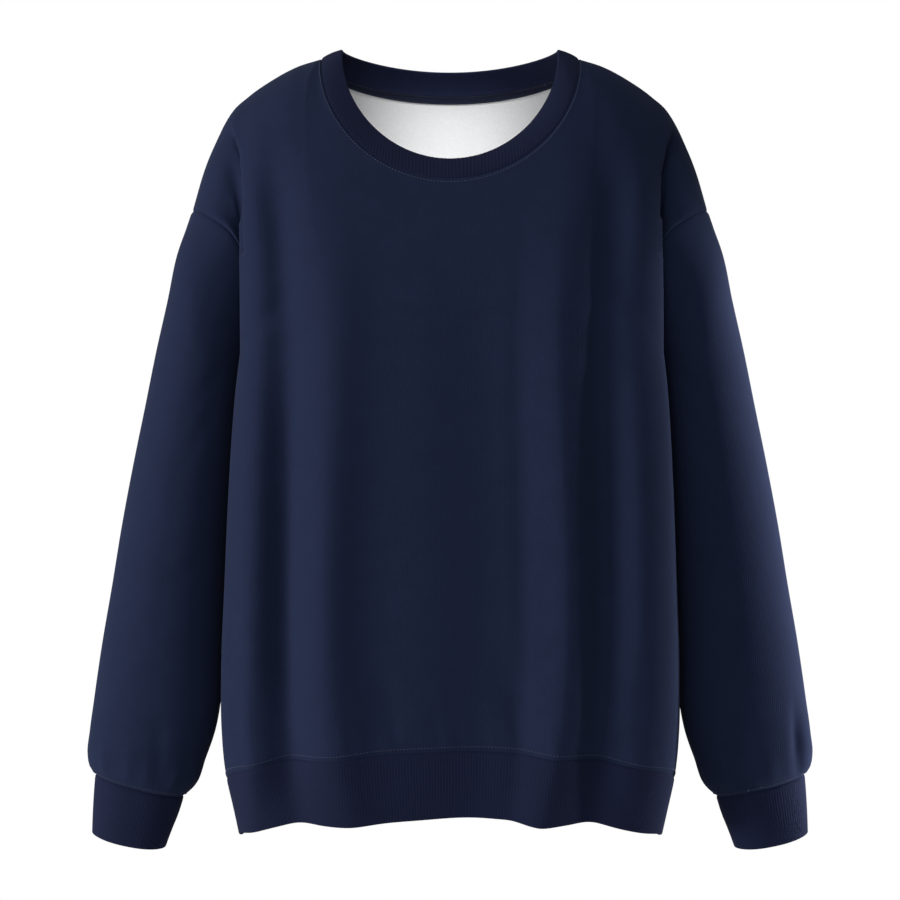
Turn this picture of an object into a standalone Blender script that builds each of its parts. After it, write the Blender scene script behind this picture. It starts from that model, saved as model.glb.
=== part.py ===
# Crewneck sweatshirt with dropped shoulders, filled out as when worn, with no wearer in it.
# Sizes and tables are in millimetres, and the meshes are made in metres.
# +Z is up and -Y is the front. The origin lies at the base of the neck, midway between the
# two points where the neckband crosses the shoulder seams, so everything hangs from there.
# The tables give the -X half of the garment. The +X half mirrors it, apart from the folds.

import bpy
import bmesh
import numpy as np

MM = 0.001
MIRROR = np.array([-1.0, 1.0, 1.0])
DOWN = np.array([0.0, 0.0, -1.0])

# Cloth
BODY_WALL = 2.0       # brushed fleece
BAND_WALL = 3.0       # rib knit folded double
TAPE_WALL = 0.8
SEAM_GAP = 0.3        # space between pieces that are sewn together
RIB_PITCH = 4.3
RIB_RELIEF = 0.6
EDGE_ROUNDING = 0.9   # how far a band's folded edge draws in

# Plane of the shoulder and side seams
SEAM_PLANE = 8.0

# Neckline seam, from the shoulder points down to the centre front and centre back
NECK_HALF_WIDTH = 119.0
NECK_TOP = 3.0
FRONT_NECK = {"drop": 119.0, "drop_power": 1.0}
BACK_NECK = {"drop": 24.0, "drop_power": 1.2}

# Profile of the cloth over the chest and back, from the line of the shoulders down: how
# steeply it starts at the neck point and at the centre, and how far the line of the
# shoulders lies out and up at the centre, where the neck opening cuts it away
YOKE_PROFILE = {
    "front": {
        "slope": 0.3,
        "centre_slope": 0.3,
        "centre_out": 0.0,
        "centre_up": 0.0,
        "reach": 0.98,
    },
    "back": {
        "slope": 0.24,
        "centre_slope": 0.1,
        "centre_out": 6.0,
        "centre_up": 10.5,
        "reach": 1.1,
    },
}
YOKE_FALL = 0.9       # share of a column's length that runs straight down at its foot
YOKE_LEAN = 80.0      # spreads the columns out from the neck

# Free edge of the neckband
COLLAR_HALF_WIDTH = 99.0
COLLAR_TOP = 11.5
COLLAR_PLANE = 6.0
COLLAR_SWELL = 1.0    # how far the neckband bulges between its seam and its edge
FRONT_COLLAR = {"reach": 80.0, "reach_power": 0.6, "drop": 108.0, "drop_power": 1.0}
BACK_COLLAR = {"reach": 61.0, "reach_power": 0.9, "drop": 12.5, "drop_power": 1.9}

# Shoulder seam, from the neck to the top of the armhole
SHOULDER_COLUMNS = ("out", "height")
SHOULDER = (
    (119.0, 3.0),
    (140.0, -3.6),
    (164.0, -16.3),
    (186.0, -31.6),
    (201.0, -45.6),
    (215.0, -70.6),
    (228.0, -102.5),
    (238.3, -138.0),
)
SHOULDER_AT_FOLD = 193.0   # where the fold in front of the sleeve starts

# Front half of the armhole, from its top to the underarm
ARMHOLE_COLUMNS = ("out", "forward", "height")
ARMHOLE = (
    (238.3, 0.0, -138.0),
    (231.5, 24.0, -140.0),
    (218.5, 41.0, -147.0),
    (200.0, 48.0, -160.0),
    (186.5, 45.0, -185.0),
    (181.5, 35.0, -222.0),
    (180.0, 19.0, -255.0),
    (180.0, 0.0, -270.0),
)
UNDERARM = -270.0
BACK_ARMHOLE_FULLNESS = 1.04

# Sections of the body below the underarm
# front and back are measured from the seam plane, and press is how far the arm pushes the
# side in behind the fold.
TORSO_COLUMNS = ("height", "half_width", "front", "back", "press")
TORSO = (
    (-270.0, 193.0, 113.0, 120.0, 13.0),
    (-300.0, 197.5, 113.0, 119.0, 17.0),
    (-330.0, 200.5, 112.5, 118.0, 17.0),
    (-400.0, 205.0, 111.0, 114.0, 14.0),
    (-480.0, 208.5, 108.5, 110.0, 11.0),
    (-560.0, 211.2, 106.0, 106.0, 7.5),
    (-610.0, 210.3, 103.5, 103.0, 4.0),
    (-655.0, 205.5, 100.0, 99.0, 2.0),
    (-685.0, 198.3, 96.0, 95.0, 1.0),
    (-712.0, 191.8, 92.0, 91.0, 0.0),
)
PRESS_SPREAD = 34.0
FOLD_FADE = 0.8       # share of the yoke in which the folds grow out of the flat
SECTION_POWER = {"front": 3.8, "back": 2.8}
TYPICAL_SECTION = {"half_width": 200.0, "depth": 112.0}
NECK_SHARE = 0.46     # of the way from the centre line to the side seam
FOLD_SHARE = 0.77
FOLD_CALM = 0.25      # share of a half panel beside the side seam in which the folds die
HEM_CALM = 0.2        # share of the folds that the hem band takes up by its edge

# Crease between the fold and the upper arm: its depth, and where it runs between the two
NOTCH_DEPTH = 5.0
NOTCH_PLACE = 0.36
NOTCH_SPREAD = 0.22
ARMPIT_CROWDING = 0.15   # how much wider the columns beside the fold are

# Hem seam and hem edge heights at the sides, how much higher they are at the centre, and
# how much the rise is held back beside the side seam
HEM_SEAM = {"side": -668.0, "front_rise": 41.0, "back_rise": 28.0}
HEM_EDGE = {"side": -713.0, "front_rise": 24.0, "back_rise": 13.0}
HEM_RISE_POWER = 0.8
HEM_EASE = {"level": 0.6, "reach": 0.12}
# Drop of the hem for each millimetre that a fold stands out
HEM_WAVE = {"seam": 0.25, "edge": 0.75}

# Folds that run down the body: where each crosses four heights, how far it stands out (+)
# or in (-) at those heights, its spread, and how round its crest is
FOLD_HEIGHTS = (-80.0, -230.0, -640.0, -713.0)
FRONT_FOLDS = (
    ((-172.0, -176.0, -177.0, -177.0), (0.0, 3.0, 5.0, 4.0), 13.0, 2.0),
    ((-158.0, -150.0, -145.0, -134.0), (-4.0, -9.0, -11.0, -4.0), 18.0, 2.0),
    ((-103.0, -101.0, -98.0, -75.0), (0.0, 6.5, 9.5, 7.0), 20.0, 1.5),
    ((20.0, 15.0, 12.0, 12.0), (0.0, -3.0, -6.0, -5.0), 46.0, 2.0),
    ((66.0, 62.0, 60.0, 52.0), (0.0, -1.0, -1.5, -1.0), 10.0, 2.0),
    ((104.0, 95.0, 91.0, 75.0), (0.0, 5.0, 8.0, 7.0), 19.0, 1.8),
    ((138.0, 133.0, 130.0, 124.0), (-2.0, -5.0, -6.0, -5.0), 14.0, 2.0),
    ((182.0, 181.0, 179.0, 174.0), (0.0, 2.5, 9.0, 5.0), 25.0, 2.0),
)
BACK_FOLDS = (
    ((-130.0, -108.0, -112.0, -112.0), (0.0, 5.0, 10.0, 9.0), 24.0, 2.0),
    ((-60.0, -48.0, -45.0, -45.0), (0.0, -2.0, -6.0, -5.0), 26.0, 2.0),
    ((30.0, 22.0, 18.0, 18.0), (0.0, 3.0, 9.0, 8.0), 24.0, 1.6),
    ((90.0, 78.0, 75.0, 75.0), (0.0, -3.0, -6.0, -5.0), 22.0, 2.0),
    ((135.0, 120.0, 125.0, 125.0), (0.0, 5.0, 9.0, 8.0), 22.0, 1.6),
)

# Sleeve sections below the armhole: the outer and inner points as seen from the front, the
# half depth from front to back, and how far behind the origin the section's middle lies
SLEEVE_COLUMNS = ("outer_x", "outer_z", "inner_x", "inner_z", "half_depth", "middle_y")
SLEEVE = (
    (251.0, -176.0, 188.5, -291.0, 60.0, 12.0),
    (260.3, -220.0, 192.0, -318.0, 65.0, 13.0),
    (270.6, -266.0, 195.0, -347.0, 66.0, 13.0),
    (281.0, -318.0, 198.0, -380.0, 65.0, 12.0),
    (292.0, -372.0, 201.0, -416.0, 63.0, 11.0),
    (302.0, -426.0, 203.5, -455.0, 60.0, 9.0),
    (311.0, -482.0, 206.5, -500.0, 57.0, 7.0),
    (320.0, -536.0, 209.0, -545.0, 53.0, 4.0),
    (327.3, -588.0, 211.0, -588.0, 49.0, 1.0),
    (330.8, -616.0, 216.0, -616.0, 46.0, -1.0),
    (331.7, -638.0, 224.0, -640.0, 42.0, -3.0),
    (329.8, -649.0, 233.0, -663.0, 37.0, -4.0),
    (325.6, -655.0, 244.5, -676.0, 31.0, -4.0),
)
SLEEVE_POWER = 2.3
CUFF = (
    (327.0, -673.0, 249.5, -692.0, 29.0, -4.0),
    (328.0, -692.0, 256.0, -708.0, 27.5, -4.5),
    (328.5, -709.0, 261.5, -723.0, 26.0, -5.0),
)
CUFF_DROOP = 3.0      # how much lower the cuff hangs at the front

# Back neck tape, sewn over the back neck seam
TAPE_WIDTH = 10.0
TAPE_DROP = 1.5       # of its upper edge below the seam
TAPE_CLEARANCE = 0.7

# Cells of the meshes
COLLAR_CELLS = {"front": 8, "back": 7}
SHOULDER_CELLS = 5
ARMPIT_CELLS = 5
YOKE_CELLS = 12
BODY_CELLS = 9
SLEEVE_CELLS = (2, 1, 2, 1, 2, 1, 2, 1, 1, 1, 1, 1, 1)

FINE_STEPS = 400      # steps along a curve when a place on it is looked for

# Rings of the bands, as shares of the way from the seam to the free edge
COLLAR_RINGS = (0.0, 0.5, 0.93, 1.0)
HEM_RINGS = (0.0, 0.35, 0.7, 0.97, 1.0)
CUFF_EDGE_SHARE = 0.9

SEAM_SOFTENING = 2    # rounds of evening out the normals round a seam
SHARP_ANGLE = 55      # degrees, over which an edge is shaded as a corner

# Colours, linear
NAVY = (0.0115, 0.0155, 0.040)
NAVY_RIB = (0.0095, 0.013, 0.034)
NAVY_TAPE = (0.0125, 0.0165, 0.042)


def remove_old_objects():
    for old in list(bpy.data.objects):
        bpy.data.objects.remove(old, do_unlink=True)


# One column of a table.
def column(table, names, name):
    place = names.index(name)
    return np.array([row[place] for row in table])


# Slopes at the knots of a smooth curve, from the steps on both sides of each.
def knot_slopes(knots, values):
    steps = np.diff(knots)
    rises = np.diff(values, axis=0) / steps.reshape(-1, *([1] * (values.ndim - 1)))
    slopes = np.empty_like(values)
    slopes[0] = rises[0]
    slopes[-1] = rises[-1]
    for i in range(1, len(knots) - 1):
        before, after = steps[i - 1], steps[i]
        slopes[i] = (rises[i - 1] * after + rises[i] * before) / (before + after)
    return slopes


# Values of a smooth curve through the knots, for numbers or for points.
def smooth_values(knots, values, at):
    knots = np.asarray(knots, float)
    values = np.asarray(values, float)
    at = np.clip(np.atleast_1d(np.asarray(at, float)), knots[0], knots[-1])
    slopes = knot_slopes(knots, values)
    cell = np.clip(np.searchsorted(knots, at, side="right") - 1, 0, len(knots) - 2)
    step = knots[cell + 1] - knots[cell]
    t = (at - knots[cell]) / step
    shape = (-1,) + (1,) * (values.ndim - 1)
    t = t.reshape(shape)
    step = step.reshape(shape)
    return ((2 * t**3 - 3 * t**2 + 1) * values[cell]
            + (t**3 - 2 * t**2 + t) * step * slopes[cell]
            + (3 * t**2 - 2 * t**3) * values[cell + 1]
            + (t**3 - t**2) * step * slopes[cell + 1])


# Distance along a run of points, from the first one.
def run_lengths(points):
    steps = np.linalg.norm(np.diff(points, axis=0), axis=1)
    return np.concatenate(([0.0], np.cumsum(steps)))


# Points at even shares of the way along a smooth curve through the given points.
def even_points(points, shares):
    points = np.asarray(points, float)
    lengths = run_lengths(points)
    steps = np.linspace(0.0, lengths[-1], FINE_STEPS)
    fine_lengths = run_lengths(smooth_values(lengths, points, steps))
    at = np.interp(np.asarray(shares) * fine_lengths[-1], fine_lengths, steps)
    return smooth_values(lengths, points, at)


# Unit vectors.
def unit(vectors):
    lengths = np.linalg.norm(vectors, axis=-1, keepdims=True)
    return vectors / np.maximum(lengths, 1e-9)


# A signed power, which makes a squarer round.
def signed_power(value, power):
    return np.sign(value) * np.abs(value) ** power


# Angles round a quarter section at even steps of its length, as a table of share and angle.
def share_angles(side):
    power = 2.0 / SECTION_POWER[side]
    angles = np.linspace(0.0, np.pi / 2, FINE_STEPS)
    across = TYPICAL_SECTION["half_width"] * np.sin(angles) ** power
    depth = TYPICAL_SECTION["depth"] * np.cos(angles) ** power
    lengths = run_lengths(np.stack([across, depth], axis=1))
    return lengths / lengths[-1], angles


SHARE_ANGLES = {side: share_angles(side) for side in ("front", "back")}


def torso_value(name, height):
    heights = column(TORSO, TORSO_COLUMNS, "height")[::-1]
    values = column(TORSO, TORSO_COLUMNS, name)[::-1]
    return smooth_values(heights, values, height)


# Points of the body's section on the -X half, and the way out of the cloth at each.
def torso_section(side, shares, heights):
    shares = np.asarray(shares, float)
    heights = np.broadcast_to(np.asarray(heights, float), shares.shape)
    known_shares, known_angles = SHARE_ANGLES[side]
    angles = np.interp(shares, known_shares, known_angles)
    power = 2.0 / SECTION_POWER[side]
    half_width = torso_value("half_width", heights)
    depth = torso_value(side, heights)
    toward = -1.0 if side == "front" else 1.0
    across = np.sin(angles) ** power
    along = np.cos(angles) ** power
    y = toward * depth * along
    x = -half_width * across
    x = x + torso_value("press", heights) * np.exp(-(y / PRESS_SPREAD) ** 2)
    points = np.stack([x, SEAM_PLANE + y, heights], axis=1)
    rest = SECTION_POWER[side] - 1.0
    outward = np.stack([-across ** rest / half_width, toward * along ** rest / depth,
                        np.zeros_like(across)], axis=1)
    return points, unit(outward)


# How far the folds stand out at points of a panel.
def fold_relief(side, points):
    folds = FRONT_FOLDS if side == "front" else BACK_FOLDS
    heights = np.array(FOLD_HEIGHTS)[::-1]
    relief = np.zeros(len(points))
    for places, reliefs, spread, roundness in folds:
        x = smooth_values(heights, places[::-1], points[:, 2])
        out = smooth_values(heights, reliefs[::-1], points[:, 2])
        relief += out * np.exp(-np.abs((points[:, 0] - x) / spread) ** roundness)
    return relief


# The neckband's free edge, from the centre to the shoulder point.
def collar_edge(side):
    sizes = FRONT_COLLAR if side == "front" else BACK_COLLAR
    toward = -1.0 if side == "front" else 1.0
    angles = np.linspace(0.0, np.pi / 2, COLLAR_CELLS[side] + 1)
    x = -COLLAR_HALF_WIDTH * np.sin(angles)
    y = COLLAR_PLANE + toward * sizes["reach"] * np.abs(np.cos(angles)) ** sizes["reach_power"]
    z = COLLAR_TOP - sizes["drop"] * np.abs(np.cos(angles)) ** sizes["drop_power"]
    return np.stack([x, y, z], axis=1)


# Points of the shoulder seam at given distances out from the centre.
def shoulder_points(distances):
    out = column(SHOULDER, SHOULDER_COLUMNS, "out")
    height = column(SHOULDER, SHOULDER_COLUMNS, "height")
    z = smooth_values(out, height, distances)
    return np.stack([-distances, np.full_like(distances, SEAM_PLANE), z], axis=1)


# The armhole seam from its top to the underarm, at even steps.
def armhole_points(side):
    toward = -1.0 if side == "front" else BACK_ARMHOLE_FULLNESS
    points = [(-out, SEAM_PLANE + toward * forward, height) for out, forward, height in ARMHOLE]
    return even_points(points, np.linspace(0.0, 1.0, YOKE_CELLS + 1))


# Shares of the way to the side seam for the columns of a half panel, from the centre out.
def column_shares(side):
    collar = np.linspace(0.0, NECK_SHARE, COLLAR_CELLS[side] + 1)
    shoulder = np.linspace(NECK_SHARE, FOLD_SHARE, SHOULDER_CELLS + 1)[1:]
    return np.concatenate([collar, shoulder])


# Height of the neckline seam at distances out from the centre.
def neckline_height(side, distances):
    sizes = FRONT_NECK if side == "front" else BACK_NECK
    inside = np.sqrt(np.clip(1.0 - (distances / NECK_HALF_WIDTH) ** 2, 0.0, 1.0))
    return NECK_TOP - sizes["drop"] * inside ** sizes["drop_power"]


# Points along a curve with given ends and ways out of them.
def profile_points(at, first, first_way, last, last_way):
    t = at[:, None]
    return ((2 * t**3 - 3 * t**2 + 1) * first + (t**3 - 2 * t**2 + t) * first_way
            + (3 * t**2 - 2 * t**3) * last + (t**3 - t**2) * last_way)


# Share of a profile at which it comes down through the neckline.
def share_at_neckline(side, fine, path):
    above = path[:, 2] - neckline_height(side, -path[:, 0])
    place = np.argmax(above <= 0.0)
    if place == 0:
        return 0.0
    return fine[place] + above[place] / (above[place - 1] - above[place]) * fine[1]


# Upper columns of a half panel, from the neckline or shoulder seam over the chest or back.
# Each follows one profile from the line of the shoulders down to the underarm, and those
# inside the neck begin where the profile meets the neckline.
def yoke_columns(side, bottom):
    toward = -1.0 if side == "front" else 1.0
    profile = YOKE_PROFILE[side]
    angles = np.linspace(0.0, np.pi / 2, COLLAR_CELLS[side] + 1)
    spaced = np.linspace(NECK_HALF_WIDTH, SHOULDER_AT_FOLD, SHOULDER_CELLS + 1)[1:]
    top = shoulder_points(np.concatenate([NECK_HALF_WIDTH * np.sin(angles), spaced]))
    inside = np.concatenate([np.cos(angles) ** 2, np.zeros(SHOULDER_CELLS)])
    top[:len(angles), 2] = NECK_TOP
    top[:, 1] += toward * profile["centre_out"] * inside
    top[:, 2] += profile["centre_up"] * inside
    slope = profile["slope"] + (profile["centre_slope"] - profile["slope"]) * inside
    start = unit(np.stack([np.zeros_like(slope), toward * np.ones_like(slope), -slope], axis=1))
    lean = np.concatenate([np.sin(angles) ** 2, np.linspace(1.0, 0.0, SHOULDER_CELLS + 1)[1:]])
    lengths = np.linalg.norm(bottom - top, axis=1)
    fine = np.linspace(0.0, 1.0, FINE_STEPS)
    way = np.linspace(0.0, 1.0, YOKE_CELLS + 1)
    columns = []
    for i in range(len(top)):
        first_way = start[i] * lengths[i] * profile["reach"]
        last_way = DOWN * lengths[i] * YOKE_FALL
        first = 0.0
        if i < len(angles) - 1:
            path = profile_points(fine, top[i], first_way, bottom[i], last_way)
            first = share_at_neckline(side, fine, path)
        at = first + (1 - first) * way
        path = profile_points(at, top[i], first_way, bottom[i], last_way)
        path[:, 0] -= YOKE_LEAN * lean[i] * way * (1 - way) ** 2
        columns.append(path)
    return np.array(columns).transpose(1, 0, 2)


# Upper columns between the fold and the armhole: a patch between its four edges, creased.
def armpit_columns(side, fold_column, bottom_strip):
    toward = -1.0 if side == "front" else 1.0
    seam = armhole_points(side)
    across = np.linspace(0.0, 1.0, ARMPIT_CELLS + 1)
    spacing = across * (1 + ARMPIT_CROWDING * (1 - across))
    top = shoulder_points(SHOULDER_AT_FOLD + spacing * (ARMHOLE[0][0] - SHOULDER_AT_FOLD))
    top_bulge = top - ((1 - across[:, None]) * top[0] + across[:, None] * top[-1])
    straight = (1 - across[:, None]) * bottom_strip[0] + across[:, None] * bottom_strip[-1]
    bottom_bulge = bottom_strip - straight
    notch = NOTCH_DEPTH * np.exp(-((across - NOTCH_PLACE) / NOTCH_SPREAD) ** 2)
    rows = []
    for i, share in enumerate(np.linspace(0.0, 1.0, YOKE_CELLS + 1)):
        ease = share * share * (3 - 2 * share)
        row = (1 - across[:, None]) * fold_column[i] + across[:, None] * seam[i]
        row = row + (1 - ease) * top_bulge + ease * bottom_bulge
        row[1:-1, 1] -= toward * notch[1:-1] * np.sin(np.pi * share) ** 1.5
        rows.append(row[1:])
    return np.array(rows)


# Height of the hem seam or hem edge, for shares of the way to the side seam.
def hem_heights(side, shares, sizes):
    rise = sizes["front_rise"] if side == "front" else sizes["back_rise"]
    ease = 1.0 - HEM_EASE["level"] * np.exp(-((1.0 - shares) / HEM_EASE["reach"]) ** 2)
    return sizes["side"] + rise * ease * np.cos(shares * np.pi / 2) ** HEM_RISE_POWER


# A panel's outer face: rows from the neckline and shoulder seams down to the hem seam,
# columns from the -X side seam to the +X side seam.
def panel_face(side):
    shares = column_shares(side)
    strip = np.linspace(FOLD_SHARE, 1.0, ARMPIT_CELLS + 1)
    all_shares = np.concatenate([shares, strip[1:]])
    bottom, outward = torso_section(side, all_shares, UNDERARM)
    yoke = yoke_columns(side, bottom[:len(shares)])
    armpit = armpit_columns(side, yoke[:, -1], bottom[len(shares) - 1:])
    rows = [np.concatenate([yoke[i], armpit[i]]) for i in range(YOKE_CELLS + 1)]
    ends = hem_heights(side, all_shares, HEM_SEAM)
    for step in range(1, BODY_CELLS + 1):
        heights = UNDERARM + (ends - UNDERARM) * step / BODY_CELLS
        rows.append(torso_section(side, all_shares, heights)[0])
    half = np.array(rows)
    full = np.concatenate([half[:, ::-1], half[:, 1:] * MIRROR], axis=1)
    directions = np.concatenate([outward[::-1], outward[1:] * MIRROR])
    return add_folds(side, full, directions)


# Folds fade in below the neckline and shoulder seams, and die at the side seams.
def add_folds(side, rows, directions):
    count = len(rows) - 1
    half = (rows.shape[1] - 1) // 2
    edge = np.minimum(np.arange(rows.shape[1]), np.arange(rows.shape[1])[::-1]) / half
    quiet = np.clip(edge / FOLD_CALM, 0.0, 1.0)
    for i in range(1, count + 1):
        fade = min(1.0, i / (YOKE_CELLS * FOLD_FADE))
        relief = fold_relief(side, rows[i]) * fade * quiet
        rows[i] = rows[i] + directions * relief[:, None]
        rows[i, :, 2] -= HEM_WAVE["seam"] * relief * (i / count) ** 2
    return rows


# A ring of the body's section with its folds, for the hem band. The rows match the panels'.
def hem_ring(share_down, front, back):
    wave = HEM_WAVE["seam"] + (HEM_WAVE["edge"] - HEM_WAVE["seam"]) * share_down
    parts = []
    for side, seam in (("front", front), ("back", back)):
        shares = np.concatenate([column_shares(side),
                                 np.linspace(FOLD_SHARE, 1.0, ARMPIT_CELLS + 1)[1:]])
        top = hem_heights(side, shares, HEM_SEAM)
        low = hem_heights(side, shares, HEM_EDGE)
        half, outward = torso_section(side, shares, top + (low - top) * share_down)
        full = np.concatenate([half[::-1], half[1:] * MIRROR])
        directions = np.concatenate([outward[::-1], outward[1:] * MIRROR])
        edge = np.minimum(np.arange(len(full)), np.arange(len(full))[::-1]) / (len(shares) - 1)
        quiet = np.clip(edge / FOLD_CALM, 0.0, 1.0) * (1 - HEM_CALM * share_down)
        relief = fold_relief(side, full) * quiet
        full = full + directions * relief[:, None]
        full[:, 2] -= wave * relief
        parts.append(seam if share_down == 0.0 else full)
    return np.concatenate([parts[0][:-1], parts[1][:0:-1]])


# The sleeve's seam ring, which the panels' armhole points make: top, front, underarm, back.
def armhole_ring():
    front = armhole_points("front")
    back = armhole_points("back")
    return np.concatenate([front[:-1], back[:0:-1]])


# Angles round a sleeve for the points of its seam ring.
def sleeve_angles():
    front = np.linspace(0.0, np.pi, YOKE_CELLS + 1)
    return np.concatenate([front[:-1], 2 * np.pi - front[:0:-1]])


def sleeve_section(row, angles, droop=0.0):
    outer_x, outer_z, inner_x, inner_z, half_depth, middle_y = row
    power = 2.0 / SLEEVE_POWER
    along = signed_power(np.cos(angles), power)
    side = signed_power(np.sin(angles), power)
    x = -(outer_x + inner_x) / 2 - along * (outer_x - inner_x) / 2
    z = (outer_z + inner_z) / 2 + along * (outer_z - inner_z) / 2
    z = z - droop * np.clip(side, 0.0, 1.0) ** 2
    return np.stack([x, middle_y - side * half_depth, z], axis=1)


# The sleeve's outer face, from the armhole down to the cuff seam.
def sleeve_face():
    angles = sleeve_angles()
    rings = [armhole_ring()]
    for i, row in enumerate(SLEEVE):
        droop = CUFF_DROOP * 0.5 if i == len(SLEEVE) - 1 else 0.0
        rings.append(sleeve_section(row, angles, droop))
    rings = np.array(rings)
    columns = []
    for i in range(rings.shape[1]):
        lengths = run_lengths(rings[:, i])
        at = [0.0]
        for cell, count in enumerate(SLEEVE_CELLS):
            at.extend(np.linspace(lengths[cell], lengths[cell + 1], count + 1)[1:])
        columns.append(smooth_values(lengths, rings[:, i], at))
    return np.array(columns).transpose(1, 0, 2)


# Normals of a face's points, on the side that turns left from down to along.
def face_normals(rows, closed):
    down = np.gradient(rows, axis=0)
    if closed:
        along = np.roll(rows, -1, axis=1) - np.roll(rows, 1, axis=1)
    else:
        along = np.gradient(rows, axis=1)
    return unit(np.cross(down, along))


# Normals at seams, shared by all the pieces that meet there, so that their edges run parallel.
class SeamNormals:
    def __init__(self):
        self.sums = {}

    def key(self, point):
        return tuple(np.round(point, 2))

    def add(self, points, normals):
        for point, normal in zip(points, normals):
            self.sums[self.key(point)] = self.sums.get(self.key(point), 0.0) + normal

    # Evens the normals out round a closed seam, so that its edges don't twist.
    def soften(self, ring):
        keys = [self.key(point) for point in ring]
        normals = np.array([unit(self.sums[key]) for key in keys])
        for step in range(SEAM_SOFTENING):
            normals = unit(np.roll(normals, 1, axis=0) + 2 * normals + np.roll(normals, -1, axis=0))
        self.sums.update(zip(keys, normals))

    def use(self, points, normals):
        for i, point in enumerate(points):
            if self.key(point) in self.sums:
                normals[i] = unit(self.sums[self.key(point)])


# Moves the edge points of a face in by half the seam gap, square to the seam and its normal.
def draw_in(edge, inside, normals, closed=False):
    if closed:
        along = np.roll(edge, -1, axis=0) - np.roll(edge, 1, axis=0)
    else:
        along = np.gradient(edge, axis=0)
    ways = unit(np.cross(along, normals))
    ways = ways * np.sign(np.sum(ways * (inside - edge), axis=1, keepdims=True))
    return edge + ways * SEAM_GAP / 2


def shade_and_paint(obj, colour, roughness):
    material = bpy.data.materials.new(obj.name + "_cloth")
    material.use_nodes = True
    shader = material.node_tree.nodes["Principled BSDF"]
    shader.inputs["Base Color"].default_value = (*colour, 1.0)
    shader.inputs["Roughness"].default_value = roughness
    shader.inputs["Metallic"].default_value = 0.0
    material.diffuse_color = (*colour, 1.0)
    obj.data.materials.append(material)
    obj.data.shade_smooth()
    obj.data.set_sharp_from_angle(angle=np.radians(SHARP_ANGLE))


def make_object(name, points, faces, colour, roughness, mirrored=False):
    if mirrored:
        points = points * MIRROR
    mesh = bpy.data.meshes.new(name)
    mesh.from_pydata((points * MM).tolist(), [], faces)
    builder = bmesh.new()
    builder.from_mesh(mesh)
    bmesh.ops.recalc_face_normals(builder, faces=builder.faces)
    builder.to_mesh(mesh)
    builder.free()
    obj = bpy.data.objects.new(name, mesh)
    bpy.context.scene.collection.objects.link(obj)
    shade_and_paint(obj, colour, roughness)
    return obj


# A four-sided face that splits along its shorter diagonal, so that pieces that meet at a
# seam are split alike there.
def split_short(points, face):
    a, b, c, d = face
    if np.linalg.norm(points[a] - points[c]) <= np.linalg.norm(points[b] - points[d]):
        return face
    return (b, c, d, a)


# Faces of a wall between an outer and an inner grid with the same rows and columns.
def wall_faces(points, row_count, column_count, closed):
    size = row_count * column_count
    cells = column_count if closed else column_count - 1
    faces = []
    for r in range(row_count - 1):
        for c in range(cells):
            d = (c + 1) % column_count
            a, b = r * column_count + c, r * column_count + d
            e, f = a + column_count, b + column_count
            faces.append(split_short(points, (a, b, f, e)))
            faces.append(split_short(points, (a + size, e + size, f + size, b + size)))
    for r in (0, row_count - 1):
        for c in range(cells):
            a = r * column_count + c
            b = r * column_count + (c + 1) % column_count
            faces.append(split_short(points, (a, a + size, b + size, b)))
    if not closed:
        for c in (0, column_count - 1):
            for r in range(row_count - 1):
                a = r * column_count + c
                b = a + column_count
                faces.append(split_short(points, (a, b, b + size, a + size)))
    return faces


# Triangles that join two rings or runs of points with different counts.
def zip_faces(first, second, first_shares, second_shares):
    faces = []
    i = j = 0
    while i < len(first) - 1 or j < len(second) - 1:
        take_first = j == len(second) - 1
        if i < len(first) - 1 and j < len(second) - 1:
            take_first = first_shares[i + 1] <= second_shares[j + 1]
        if take_first:
            faces.append((first[i], first[i + 1], second[j]))
            i += 1
        else:
            faces.append((first[i], second[j + 1], second[j]))
            j += 1
    return faces


# Fine points round a closed ring, smooth or along its straight sides.
def ring_points(ring, at, straight):
    count = len(ring)
    wrapped = np.concatenate([ring[-2:], ring, ring[:3]])
    if straight:
        base = np.floor(at).astype(int)
        part = (at - base)[:, None]
        return wrapped[base + 2] * (1 - part) + wrapped[base + 3] * part
    knots = np.arange(-2, count + 3)
    return smooth_values(knots, wrapped, at)


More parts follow.
